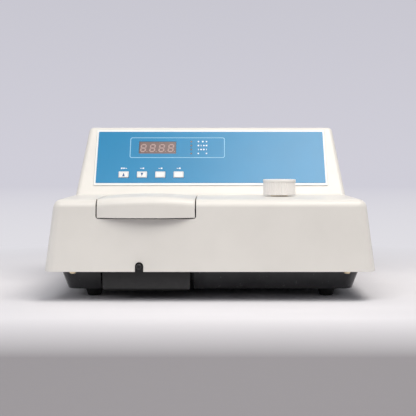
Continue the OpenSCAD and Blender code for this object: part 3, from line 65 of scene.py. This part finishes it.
class Look:
    """A node material with a Principled shader, built up socket by socket."""

    def __init__(self, name, **sockets):
        self.material = bpy.data.materials.new(name)
        self.material.use_nodes = True
        self.tree = self.material.node_tree
        self.shader = next(n for n in self.tree.nodes if n.type == "BSDF_PRINCIPLED")
        self.normal = None
        self.place = self.add("ShaderNodeTexCoord").outputs["Object"]
        for socket, value in sockets.items():
            self.shader.inputs[socket.replace("_", " ")].default_value = value

    def add(self, kind, **settings):
        node = self.tree.nodes.new(kind)
        for key, value in settings.items():
            setattr(node, key, value)
        return node

    def wire(self, source, target):
        self.tree.links.new(source, target)

    def stretched(self, scale):
        """Object coordinates in metres, stretched by a scale along each axis."""
        mapping = self.add("ShaderNodeMapping")
        mapping.inputs["Scale"].default_value = scale
        self.wire(self.place, mapping.inputs["Vector"])
        return mapping.outputs["Vector"]

    def noise(self, size, detail=2.0, rough=0.5, stretch=None):
        """Noise whose features are about size metres across."""
        texture = self.add("ShaderNodeTexNoise")
        texture.inputs["Scale"].default_value = 1.0 / size
        texture.inputs["Detail"].default_value = detail
        texture.inputs["Roughness"].default_value = rough
        self.wire(self.stretched(stretch) if stretch else self.place, texture.inputs["Vector"])
        return texture.outputs["Fac"]

    def remap(self, value, low, high, start=0.3, end=0.7):
        """Spreads the middle of a noise value over low..high."""
        node = self.add("ShaderNodeMapRange")
        node.inputs["From Min"].default_value = start
        node.inputs["From Max"].default_value = end
        node.inputs["To Min"].default_value = low
        node.inputs["To Max"].default_value = high
        self.wire(value, node.inputs["Value"])
        return node.outputs["Result"]

    def mix(self, factor, a, b):
        node = self.add("ShaderNodeMix", data_type="RGBA")
        self.wire(factor, node.inputs["Factor"])
        for socket, value in ((6, a), (7, b)):
            if isinstance(value, tuple):
                node.inputs[socket].default_value = (*value, 1.0)
            else:
                self.wire(value, node.inputs[socket])
        return node.outputs[2]

    def colour(self, source):
        self.wire(source, self.shader.inputs["Base Color"])
        return self

    def rough(self, source):
        self.wire(source, self.shader.inputs["Roughness"])
        return self

    def edges(self, radius):
        """Rounds the edges by the shading alone."""
        bevel = self.add("ShaderNodeBevel", samples=6)
        bevel.inputs["Radius"].default_value = radius
        self.normal = bevel.outputs["Normal"]
        self.wire(self.normal, self.shader.inputs["Normal"])
        return self

    def bump(self, height, depth):
        """Adds relief: depth is the height of a full step of the texture, in metres."""
        node = self.add("ShaderNodeBump")
        node.inputs["Distance"].default_value = depth
        self.wire(height, node.inputs["Height"])
        if self.normal:
            self.wire(self.normal, node.inputs["Normal"])
        self.normal = node.outputs["Normal"]
        self.wire(self.normal, self.shader.inputs["Normal"])
        return self


def shade(colour, factor):
    return tuple(min(1.0, c * factor) for c in colour)


def moulded(name, colour, rough, grain=0.45 * MM, depth=0.012 * MM, edge=0.5 * MM, uneven=0.03, coat=0.0):
    """Moulded plastic: faint cloudiness, a fine spark-eroded grain and softened edges."""
    look = Look(name, Coat_Weight=coat, Coat_Roughness=0.15)
    cloud = look.remap(look.noise(45 * MM, 3), 0, 1)
    look.colour(look.mix(cloud, shade(colour, 1 - uneven), shade(colour, 1 + uneven / 2)))
    look.rough(look.remap(look.noise(8 * MM, 4), rough - 0.04, rough + 0.05))
    if edge:
        look.edges(edge)
    return look.bump(look.noise(grain, 2, 0.7), depth)


def powder_coat(name, colour, rough=0.5, grain=0.9 * MM, depth=0.03 * MM, edge=0.8 * MM):
    """Powder coat: orange-peel relief, with a little dust in the colour."""
    look = Look(name, Specular_IOR_Level=0.5)
    dust = look.remap(look.noise(30 * MM, 5, 0.6), 0, 1)
    look.colour(look.mix(dust, shade(colour, 0.85), shade(colour, 1.2)))
    look.rough(look.remap(look.noise(5 * MM, 3), rough - 0.06, rough + 0.06))
    return look.edges(edge).bump(look.noise(grain, 2, 0.4), depth)


def brushed(name, colour, rough=0.32, along=(1, 40, 40), edge=0.3 * MM):
    """Sheet or turned metal with fine scratches along one axis."""
    look = Look(name, Metallic=1.0)
    streak = look.noise(6 * MM, 4, 0.6, along)
    look.colour(look.mix(look.remap(streak, 0, 1), shade(colour, 0.86), shade(colour, 1.06)))
    look.rough(look.remap(streak, rough - 0.08, rough + 0.12))
    return look.edges(edge).bump(streak, 0.01 * MM)


def rubber(name, colour):
    """Matt rubber with a dusty bloom."""
    look = Look(name, Specular_IOR_Level=0.25)
    bloom = look.remap(look.noise(6 * MM, 4), 0, 1)
    look.colour(look.mix(bloom, colour, shade(colour, 1.7)))
    look.rough(look.remap(look.noise(3 * MM), 0.75, 0.9))
    return look.edges(0.5 * MM).bump(look.noise(0.5 * MM), 0.04 * MM)


def printed_film(name, colour, rough=0.42):
    """Screen-printed polyester film: a velvet grain under a faint sheen."""
    look = Look(name, Specular_IOR_Level=0.5)
    tone = look.remap(look.noise(60 * MM, 2), 0, 1)
    look.colour(look.mix(tone, shade(colour, 0.97), shade(colour, 1.04)))
    look.rough(look.remap(look.noise(1.2 * MM, 2), rough - 0.03, rough + 0.04))
    return look.bump(look.noise(0.25 * MM, 1), 0.006 * MM)


def clear(name, colour, rough=0.03, weight=1.0):
    """Glass or filter, with a faint haze."""
    look = Look(name, Transmission_Weight=weight, IOR=1.5)
    haze = look.remap(look.noise(12 * MM, 3), 0, 1)
    look.colour(look.mix(haze, colour, shade(colour, 0.94)))
    look.rough(look.remap(look.noise(3 * MM, 3), rough, rough + 0.04))
    return look


def circuit_board(name, mask, copper):
    """Solder mask over a grid of tracks, with rows of bright pads."""
    look = Look(name, Specular_IOR_Level=0.5)
    tracks = look.add("ShaderNodeTexBrick", offset=0.35)
    tracks.inputs["Scale"].default_value = 90.0
    tracks.inputs["Mortar Size"].default_value = 0.06
    tracks.inputs["Color1"].default_value = (0, 0, 0, 1)
    tracks.inputs["Color2"].default_value = (0, 0, 0, 1)
    tracks.inputs["Mortar"].default_value = (1, 1, 1, 1)
    look.wire(look.place, tracks.inputs["Vector"])
    pads = look.add("ShaderNodeTexVoronoi", voronoi_dimensions="3D")
    pads.inputs["Scale"].default_value = 1 / (5 * MM)
    pads.inputs["Randomness"].default_value = 0.55
    look.wire(look.place, pads.inputs["Vector"])
    dots = look.remap(pads.outputs["Distance"], 1, 0, 0.12, 0.15)
    tinted = look.mix(tracks.outputs["Fac"], mask, shade(mask, 1.8))
    look.colour(look.mix(dots, tinted, copper))
    look.rough(look.remap(look.noise(4 * MM), 0.28, 0.4))
    return look.edges(0.2 * MM).bump(tracks.outputs["Fac"], 0.04 * MM)


def wound(name, colour):
    """Varnished laminations and winding, seen as close parallel lines."""
    look = Look(name, Specular_IOR_Level=0.5)
    lines = look.add("ShaderNodeTexWave", wave_type="BANDS", bands_direction="Z")
    lines.inputs["Scale"].default_value = 160.0
    lines.inputs["Distortion"].default_value = 0.6
    look.wire(look.place, lines.inputs["Vector"])
    look.colour(look.mix(lines.outputs["Fac"], shade(colour, 0.55), shade(colour, 1.25)))
    look.rough(look.remap(look.noise(5 * MM), 0.3, 0.5))
    return look.edges(0.6 * MM).bump(lines.outputs["Fac"], 0.12 * MM)


CREAM = (0.80, 0.775, 0.735)
WHITE = (0.86, 0.86, 0.85)
BLACK = (0.052, 0.052, 0.055)
DEEP_BLACK = (0.005, 0.005, 0.006)

looks = {
    "cover_plastic": moulded("cover_plastic", CREAM, 0.42, coat=0.08, edge=0.6 * MM),
    "base_black": powder_coat("base_black", BLACK, 0.22, depth=0.008 * MM),
    "chamber_black": powder_coat("chamber_black", DEEP_BLACK, 0.14, depth=0.003 * MM, edge=1.2 * MM),
    "rubber_black": rubber("rubber_black", (0.012, 0.012, 0.012)),
    "plate_white": moulded("plate_white", WHITE, 0.38, grain=0.3 * MM, depth=0.006 * MM, edge=0.35 * MM),
    "overlay_blue": printed_film("overlay_blue", (0.003, 0.224, 0.460), 0.33),
    "display_tint": moulded("display_tint", (0.215, 0.150, 0.142), 0.22, depth=0.0, coat=0.3),
    "segment_pink": moulded("segment_pink", (0.440, 0.315, 0.300), 0.5, depth=0.0, edge=0),
    "lamp_amber": moulded("lamp_amber", (0.44, 0.27, 0.19), 0.2, depth=0.0, edge=0.1 * MM, coat=0.5),
    "key_white": moulded("key_white", (0.84, 0.84, 0.84), 0.42, grain=0.3 * MM, edge=0.5 * MM),
    "knob_white": moulded("knob_white", (0.90, 0.875, 0.855), 0.38, grain=0.3 * MM, edge=0.25 * MM),
    "switch_black": moulded("switch_black", (0.012, 0.012, 0.013), 0.45, uneven=0.2),
    "rocker_red": moulded("rocker_red", (0.45, 0.020, 0.015), 0.25, depth=0.004 * MM, coat=0.3),
    "sheet_steel": brushed("sheet_steel", (0.62, 0.63, 0.64)),
    "screw_steel": brushed("screw_steel", (0.58, 0.58, 0.57), 0.28, (12, 12, 1)),
    "brass": brushed("brass", (0.80, 0.67, 0.46), 0.30, (12, 12, 1)),
    "board_green": circuit_board("board_green", (0.020, 0.130, 0.060), (0.70, 0.66, 0.58)),
    "optic_black": powder_coat("optic_black", (0.013, 0.013, 0.014), 0.55, 0.5 * MM),
    "clear_glass": clear("clear_glass", (0.95, 0.98, 0.98)),
    "grating_glass": brushed("grating_glass", (0.78, 0.82, 0.88), 0.12, (1, 1, 60)),
    "ceramic": moulded("ceramic", (0.76, 0.72, 0.62), 0.3, depth=0.01 * MM, coat=0.4),
    "filter_violet": clear("filter_violet", (0.12, 0.05, 0.30), weight=0.7),
    "tube_grey": powder_coat("tube_grey", (0.36, 0.36, 0.35), 0.4, 1.2 * MM),
    "coil_brown": wound("coil_brown", (0.30, 0.17, 0.07)),
    "guide_grey": moulded("guide_grey", (0.55, 0.55, 0.56), 0.5),
}

for subpart in frame["record"]["subparts"]:
    piece = nodes[subpart["node"]]
    piece.data.materials.clear()
    piece.data.materials.append(looks[subpart["material_slot"]].material)

# ---------- shading of the CAD pieces ----------

SMOOTH_ANGLE = math.radians(38)


def smooth_by_angle(obj):
    """Smooth shading that keeps each edge sharper than the smoothing angle."""
    for face in obj.data.polygons:
        face.use_smooth = True
    sharp = obj.modifiers.new("sharp edges", "EDGE_SPLIT")
    sharp.split_angle = SMOOTH_ANGLE


for piece in nodes.values():
    smooth_by_angle(piece)

# ---------- backdrop, seen by the camera and in reflections ----------

BACKDROP_LOW = (0.630, 0.620, 0.690)     # at the horizon
BACKDROP_HIGH = (0.580, 0.572, 0.635)
BACKDROP_RISE = 0.17                     # sine of the angle at which the upper tone is reached
BACKDROP_FRONT = 0.30                    # share of it that reflections of the darker room in front get
ROOM_DARK, ROOM_LIT = -0.6, 0.1          # directions, as their Y, between which the room turns lighter
AMBIENT = (0.95, 0.965, 1.0)
AMBIENT_STRENGTH = 0.22

world = bpy.data.worlds.new("studio")
bpy.context.scene.world = world
world.use_nodes = True


def node_in(tree, kind, **settings):
    """A new node of a tree that has no Look of its own."""
    node = tree.nodes.new(kind)
    for key, value in settings.items():
        setattr(node, key, value)
    return node


def seen_rays(tree):
    """1 for camera, glossy and transmission rays, 0 for the light that falls on things."""
    path = node_in(tree, "ShaderNodeLightPath")
    total = path.outputs["Is Camera Ray"]
    for name in ("Is Glossy Ray", "Is Transmission Ray"):
        add = node_in(tree, "ShaderNodeMath", operation="ADD", use_clamp=True)
        tree.links.new(total, add.inputs[0])
        tree.links.new(path.outputs[name], add.inputs[1])
        total = add.outputs[0]
    return total


def dress_world():
    """An even, weak light on everything, and the backdrop's tones where it is seen or reflected."""
    tree = world.node_tree
    ambient = next(n for n in tree.nodes if n.type == "BACKGROUND")
    ambient.inputs["Color"].default_value = (*AMBIENT, 1.0)
    ambient.inputs["Strength"].default_value = AMBIENT_STRENGTH
    split = node_in(tree, "ShaderNodeSeparateXYZ")
    tree.links.new(node_in(tree, "ShaderNodeTexCoord").outputs["Generated"], split.inputs["Vector"])
    rise = node_in(tree, "ShaderNodeMapRange")
    rise.inputs["From Max"].default_value = BACKDROP_RISE
    tree.links.new(split.outputs["Z"], rise.inputs["Value"])
    tone = node_in(tree, "ShaderNodeMix", data_type="RGBA")
    tone.inputs[6].default_value = (*BACKDROP_LOW, 1.0)
    tone.inputs[7].default_value = (*BACKDROP_HIGH, 1.0)
    tree.links.new(rise.outputs["Result"], tone.inputs["Factor"])
    backdrop = node_in(tree, "ShaderNodeBackground")
    tree.links.new(tone.outputs[2], backdrop.inputs["Color"])
    front = node_in(tree, "ShaderNodeMapRange")
    front.inputs["From Min"].default_value = ROOM_DARK
    front.inputs["From Max"].default_value = ROOM_LIT
    front.inputs["To Min"].default_value = BACKDROP_FRONT
    tree.links.new(split.outputs["Y"], front.inputs["Value"])
    strength = node_in(tree, "ShaderNodeMath", operation="MAXIMUM")
    tree.links.new(front.outputs["Result"], strength.inputs[0])
    tree.links.new(node_in(tree, "ShaderNodeLightPath").outputs["Is Camera Ray"], strength.inputs[1])
    tree.links.new(strength.outputs[0], backdrop.inputs["Strength"])
    choose = node_in(tree, "ShaderNodeMixShader")
    tree.links.new(seen_rays(tree), choose.inputs["Fac"])
    tree.links.new(ambient.outputs[0], choose.inputs[1])
    tree.links.new(backdrop.outputs[0], choose.inputs[2])
    out = next(n for n in tree.nodes if n.type == "OUTPUT_WORLD")
    tree.links.new(choose.outputs[0], out.inputs["Surface"])


dress_world()

# ---------- floor ----------

FLOOR_HALF = 12.0
FADE_CENTRE = (0, -0.02, 0)
FADE_START, FADE_END = 0.26, 0.68        # distances from there between which it fades into the backdrop
BACKDROP_NEAR = (0.745, 0.735, 0.775)    # the backdrop's tone there
BACKDROP_REACHED = 4.5                   # distance at which it has its tone at the horizon
NEAR_EDGE, FAR_EDGE = -0.465, -0.265     # the cloth falls into shade between these places in front
SHADE_START, SHADE_END = 0.90, 1.60      # distances over which the shaded cloth fades too
CLOTH_LIT = (0.80, 0.79, 0.83)
CLOTH_SHADE = (0.285, 0.274, 0.292)
CLOTH_BEHIND_PAINTED_LIGHT = (0.90, 0.885, 0.925)      # painted light: the cloth is paler behind the object, between the two places that follow, where the lamps' light falls off
BEHIND_START, BEHIND_END = -0.15, 0.10
CREASE_SIZE, CREASE_DEPTH = 70 * MM, 0.6 * MM
WEAVE_SIZE, WEAVE_DEPTH = 1.1 * MM, 0.12 * MM


def make_mesh(name, verts, faces, material):
    mesh = bpy.data.meshes.new(name)
    mesh.from_pydata([tuple(v) for v in verts], [], faces)
    mesh.update()
    obj = bpy.data.objects.new(name, mesh)
    bpy.context.scene.collection.objects.link(obj)
    mesh.materials.append(material)
    return obj


def cloth_floor():
    """A pale woven cloth with soft folds, fading into the backdrop far from the object; painted shade lies in
    the folds' hollows and in front of the object, and painted light behind it.
    """
    look = Look("floor_cloth", Roughness=0.9, Specular_IOR_Level=0.15)
    split = look.add("ShaderNodeSeparateXYZ")
    look.wire(look.place, split.inputs["Vector"])
    crease_relief_and_painted_shade = look.remap(look.noise(CREASE_SIZE, 3, 0.5, (0.25, 1, 1)), 0, 1)
    # Painted shade: the colour is darker in the hollows of the crease relief and lighter on its ridges, the
    # same relief that the bump below gives
    lit = look.mix(crease_relief_and_painted_shade, shade(CLOTH_LIT, 0.985), shade(CLOTH_LIT, 1.015))
    front = look.mix(look.remap(split.outputs["Y"], 0, 1, NEAR_EDGE, FAR_EDGE), CLOTH_SHADE, lit)
    # Painted light: behind the object the cloth turns to a paler tone
    look.colour(look.mix(look.remap(split.outputs["Y"], 0, 1, BEHIND_START, BEHIND_END), front, CLOTH_BEHIND_PAINTED_LIGHT))
    look.bump(crease_relief_and_painted_shade, CREASE_DEPTH)
    look.bump(look.noise(WEAVE_SIZE, 2, 0.6), WEAVE_DEPTH)
    radius = look.add("ShaderNodeVectorMath", operation="DISTANCE")
    look.wire(look.place, radius.inputs[0])
    radius.inputs[1].default_value = FADE_CENTRE
    fade = look.remap(radius.outputs["Value"], 0, 1, FADE_START, FADE_END)
    reach = look.add("ShaderNodeMath", operation="MAXIMUM")
    look.wire(look.remap(split.outputs["Y"], 0, 1, NEAR_EDGE, FAR_EDGE), reach.inputs[0])
    look.wire(look.remap(radius.outputs["Value"], 0, 1, SHADE_START, SHADE_END), reach.inputs[1])
    share = seen_rays(look.tree)
    for part in (fade, reach.outputs[0]):
        product = look.add("ShaderNodeMath", operation="MULTIPLY")
        look.wire(part, product.inputs[0])
        look.wire(share, product.inputs[1])
        share = product.outputs[0]
    far = look.add("ShaderNodeEmission")
    distance = look.remap(radius.outputs["Value"], 0, 1, FADE_END, BACKDROP_REACHED)
    look.wire(look.mix(distance, BACKDROP_NEAR, BACKDROP_LOW), far.inputs["Color"])
    blend = look.add("ShaderNodeMixShader")
    look.wire(share, blend.inputs["Fac"])
    look.wire(look.shader.outputs[0], blend.inputs[1])
    look.wire(far.outputs[0], blend.inputs[2])
    out = next(n for n in look.tree.nodes if n.type == "OUTPUT_MATERIAL")
    look.wire(blend.outputs[0], out.inputs["Surface"])
    corners = [(x * FLOOR_HALF, y * FLOOR_HALF, 0) for x, y in ((-1, -1), (1, -1), (1, 1), (-1, 1))]
    make_mesh("floor", corners, [(0, 1, 2, 3)], look.material)


cloth_floor()

# ---------- printed marks on the panel ----------

PRINT_LIFT = 0.03 * MM                   # how far a print stands off what carries it
PRINT_T = 0.05 * MM


def print_look(name, colour, rough=0.5):
    """Screen-printed ink."""
    look = Look(name, Specular_IOR_Level=0.4)
    look.colour(look.mix(look.remap(look.noise(0.4 * MM), 0, 1), shade(colour, 0.94), colour))
    look.rough(look.remap(look.noise(1 * MM), rough - 0.05, rough + 0.05))
    return look.material


white_ink = print_look("white_ink", (0.86, 0.90, 0.94))
pale_ink = print_look("pale_blue_ink", (0.36, 0.66, 0.86))
blue_ink = print_look("dark_blue_ink", (0.020, 0.10, 0.28))
# Grey ink for the painted shade that stands for the frame embossed in the keys' tops
embossed_frame_shade_ink = print_look("embossed_frame_shade_ink", (0.55, 0.57, 0.60))


def ring(outer, inner):
    """Faces between two outlines with the same number of points."""
    n = len(outer)
    verts = outer + inner
    faces = [(i, (i + 1) % n, n + (i + 1) % n, n + i) for i in range(n)]
    return verts, faces


def rounded_outline(w, h, r, steps=6):
    """Points round a rectangle with rounded corners."""
    corners = ((w / 2 - r, h / 2 - r, 0), (-w / 2 + r, h / 2 - r, 90),
               (-w / 2 + r, -h / 2 + r, 180), (w / 2 - r, -h / 2 + r, 270))
    points = []
    for cx, cy, start in corners:
        for i in range(steps + 1):
            a = math.radians(start + 90 * i / steps)
            points.append((cx + r * math.cos(a), cy + r * math.sin(a)))
    return points


class Print:
    """Flat shapes, in millimetres across and up, gathered into one thin printed piece."""

    def __init__(self, name, material, origin, across, up, out):
        self.name, self.material = name, material
        self.origin, self.across, self.up, self.out = origin, across, up, out
        self.verts, self.faces = [], []

    def place(self, x, y, lift):
        return self.origin + self.across * x * MM + self.up * y * MM + self.out * lift

    def shape(self, points, faces):
        start = len(self.verts)
        self.verts += [self.place(x, y, PRINT_LIFT + PRINT_T) for x, y in points]
        self.faces += [tuple(start + i for i in face) for face in faces]

    def area(self, points, at=(0, 0)):
        moved = [(x + at[0], y + at[1]) for x, y in points]
        self.shape(moved, [tuple(range(len(moved)))])

    def line(self, w, h, r, thick, at=(0, 0)):
        outer = [(x + at[0], y + at[1]) for x, y in rounded_outline(w, h, r)]
        inner = [(x + at[0], y + at[1])
                 for x, y in rounded_outline(w - 2 * thick, h - 2 * thick, r - thick)]
        self.shape(*ring(outer, inner))

    def build(self, body, slot):
        obj = make_mesh(self.name, self.verts, self.faces, self.material)
        solid = obj.modifiers.new("thickness", "SOLIDIFY")
        solid.thickness = PRINT_T
        solid.offset = -1.0
        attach(obj, body)
        return obj


def glyph(kind, size):
    """Small geometric marks that stand for a label's signs: a lying bar, a block, a tall bar or a ring."""
    s = size / 2
    if kind == "bar":
        return [(-s, -s * 0.35), (s, -s * 0.35), (s, s * 0.35), (-s, s * 0.35)]
    if kind == "block":
        return rounded_outline(2 * s, 2 * s, s * 0.3, 2)
    if kind == "tall":
        return [(-s * 0.4, -s), (s * 0.4, -s), (s * 0.4, s), (-s * 0.4, s)]
    return rounded_outline(2 * s, 2 * s, s * 0.98, 3)


KEYS = [f"key_{i}" for i in range(1, 5)]


def centre(name):
    """Middle of a node's box."""
    a, b = (Vector(c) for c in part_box(name))
    return (a + b) / 2


def panel_print(name, material):
    """A print on the overlay."""
    return Print(name, material, panel_top, Vector((1, 0, 0)), SLOPE_UP, SLOPE_OUT)


def up_slope(point):
    """Place of a point along the slope, counted up from the overlay's upper edge, in millimetres."""
    return (point - panel_top).dot(SLOPE_UP) / MM


display = centre("display_module")
key_centres = [centre(k) for k in KEYS]

# Sizes and places of the prints, in millimetres
FRAME_LEFT, FRAME_RIGHT, FRAME_HALF_H = -110.0, 19.2, 16.5
FRAME_ROUND, FRAME_LINE = 3.0, 0.9
FRAME_DROP = 0.2                         # how far the frame's middle lies below the display's

frame_line = panel_print("panel_frame_line", pale_ink)
frame_line.line(FRAME_RIGHT - FRAME_LEFT, 2 * FRAME_HALF_H, FRAME_ROUND, FRAME_LINE,
                at=((FRAME_LEFT + FRAME_RIGHT) / 2, up_slope(display) - FRAME_DROP))
frame_line.build("housing", "overlay_blue")

LABEL_UP = 10.2                          # from a key's centre to its label
LABEL_PITCH, LABEL_SIZE = 3.0, 2.3
LABEL_COUNTS = (3, 2, 2, 2)              # signs over each key
key_labels = panel_print("key_labels", white_ink)
for key, count in zip(key_centres, LABEL_COUNTS):
    for j in range(count):
        x = key.x / MM + (j - (count - 1) / 2) * LABEL_PITCH
        kind = ("block", "ring", "bar")[(j + count) % 3]
        key_labels.area(glyph(kind, LABEL_SIZE), at=(x, up_slope(key) + LABEL_UP))
key_labels.build("housing", "plate_white")

KEY_SHOWN = 0.7                          # how far a key's top stands above the overlay
KEY_SIDE, KEY_RISE = 11.6, 7.8           # outline on a key's top: painted shade that stands for the frame embossed in it
KEY_ROUND, KEY_LINE = 0.8, 0.35
ARROW_W, ARROW_H = 3.2, 5.2
ARROW_WAYS = (1, -1)                     # up on the first key, down on the second


def key_print(name, material):
    """A print at the level of the keys' tops."""
    level = panel_top + SLOPE_OUT * KEY_SHOWN * MM
    return Print(name, material, level, Vector((1, 0, 0)), SLOPE_UP, SLOPE_OUT)


def arrow(w, h):
    """A triangle that points up the slope, or down it where its height is negative."""
    tip, foot = h / 2, -h / 2
    points = [(-w / 2, foot), (w / 2, foot), (0, tip)]
    return points if h > 0 else points[::-1]


for number, (key, centre_at) in enumerate(zip(KEYS, key_centres)):
    at = (centre_at.x / MM, up_slope(centre_at))
    # The outline is painted shade standing for the embossed frame on each key
    outline = key_print(f"{key}_outline", embossed_frame_shade_ink)
    outline.line(KEY_SIDE, KEY_RISE, KEY_ROUND, KEY_LINE, at=at)
    outline.build(f"{key}_body", "key_white")
    if number < len(ARROW_WAYS):
        mark = key_print(f"{key}_arrow", blue_ink)
        mark.area(arrow(ARROW_W, ARROW_H * ARROW_WAYS[number]), at=at)
        mark.build(f"{key}_body", "overlay_blue")

LED_PITCH = 6.4
MARK_LEFT, MARK_PITCH, MARK_SIZE = -16.8, 3.7, 2.2
MARK_ROWS = ((0, 1.6, 3), (0, 1, 2, 3), (0, 1, 2, 3), (0, 3))   # places of the signs beside each lamp
lamp_marks = panel_print("lamp_marks", white_ink)
for row, marks in enumerate(MARK_ROWS):
    height = up_slope(display) + ((len(MARK_ROWS) - 1) / 2 - row) * LED_PITCH
    for mark in marks:
        kind = ("ring", "block", "tall")[int(mark + row) % 3]
        lamp_marks.area(glyph(kind, MARK_SIZE), at=(MARK_LEFT + mark * MARK_PITCH, height))
lamp_marks.build("housing", "plate_white")

# ---------- marks on the power rocker ----------

ROCKER_TILT = math.radians(8)            # lean of the rocker at rest
ROCKER_MIDDLE, ROCKER_END = (4.6, 0.0), (5.4, 7.4)   # its dished face's profile, out and up from the pin
ROCKER_MARK, ROCKER_LINE = 3.0, 0.5
ROCKER_ROUND = 1.49                      # just under half the mark, so that its corners stay apart
joints = {joint["name"]: joint for joint in frame["record"]["behaviour"]["joints"]}
rocker_pin = Vector(joints["power_switch"]["pos_m"])


def rocker_print(name, side):
    """A print at the middle of the rocker's upper half (side 1) or lower half (side -1)."""
    lean = Matrix.Rotation(ROCKER_TILT, 3, "X")
    (out_middle, _), (out_end, rise) = ROCKER_MIDDLE, ROCKER_END
    up = lean @ Vector((0, side * (out_end - out_middle), rise)).normalized()
    place = rocker_pin + lean @ Vector((0, out_middle + out_end, side * rise)) * MM / 2
    across = Vector((-1, 0, 0))
    return Print(name, white_ink, place, across, up, across.cross(up))


on_mark = rocker_print("rocker_on_mark", 1)
on_mark.area(glyph("tall", ROCKER_MARK))
on_mark.build("rocker", "plate_white")
off_mark = rocker_print("rocker_off_mark", -1)
off_mark.line(ROCKER_MARK, ROCKER_MARK, ROCKER_ROUND, ROCKER_LINE)
off_mark.build("rocker", "plate_white")

# ---------- lights ----------


def area_light(name, place, target, size, power, colour=(1, 1, 1)):
    """A rectangular lamp of so many watts that faces its target."""
    data = bpy.data.lights.new(name, "AREA")
    data.shape = "RECTANGLE"
    data.size, data.size_y = size
    data.energy = power
    data.color = colour
    lamp = bpy.data.objects.new(name, data)
    bpy.context.scene.collection.objects.link(lamp)
    lamp.location = place
    lamp.rotation_euler = (Vector(target) - Vector(place)).to_track_quat("-Z", "Y").to_euler()


area_light("left_softbox", place=(-0.45, -1.10, 1.30), target=(-0.05, -0.08, 0.10), size=(0.8, 0.6),
           power=8.5, colour=(1.0, 0.985, 0.965))
area_light("right_softbox", place=(0.46, -0.60, 1.52), target=(0.05, -0.05, 0.12), size=(1.0, 0.6),
           power=18.0, colour=(1.0, 0.962, 0.905))
area_light("left_fill", place=(-1.3, -0.4, 0.6), target=(0, 0, 0.10), size=(0.6, 0.6), power=2.2)
area_light("right_fill", place=(1.3, -0.3, 0.7), target=(0, 0, 0.10), size=(0.6, 0.6), power=0.9)

# ---------- camera ----------

CAMERA_PLACE = (0.0072, -1.2828, 0.1733)
CAMERA_PITCH = math.radians(86.95)
CAMERA_LENS, CAMERA_SENSOR = 82.67, 36.0  # millimetres
CAMERA_SHIFT = -0.0192                   # share of the picture's width

camera_data = bpy.data.cameras.new("camera")
camera_data.lens = CAMERA_LENS
camera_data.sensor_width = CAMERA_SENSOR
camera_data.shift_x = CAMERA_SHIFT
camera = bpy.data.objects.new("camera", camera_data)
bpy.context.scene.collection.objects.link(camera)
camera.location = CAMERA_PLACE
camera.rotation_euler = (CAMERA_PITCH, 0, 0)
bpy.context.scene.camera = camera

bpy.context.scene.view_settings.view_transform = "Standard"

bpy.context.view_layer.update()
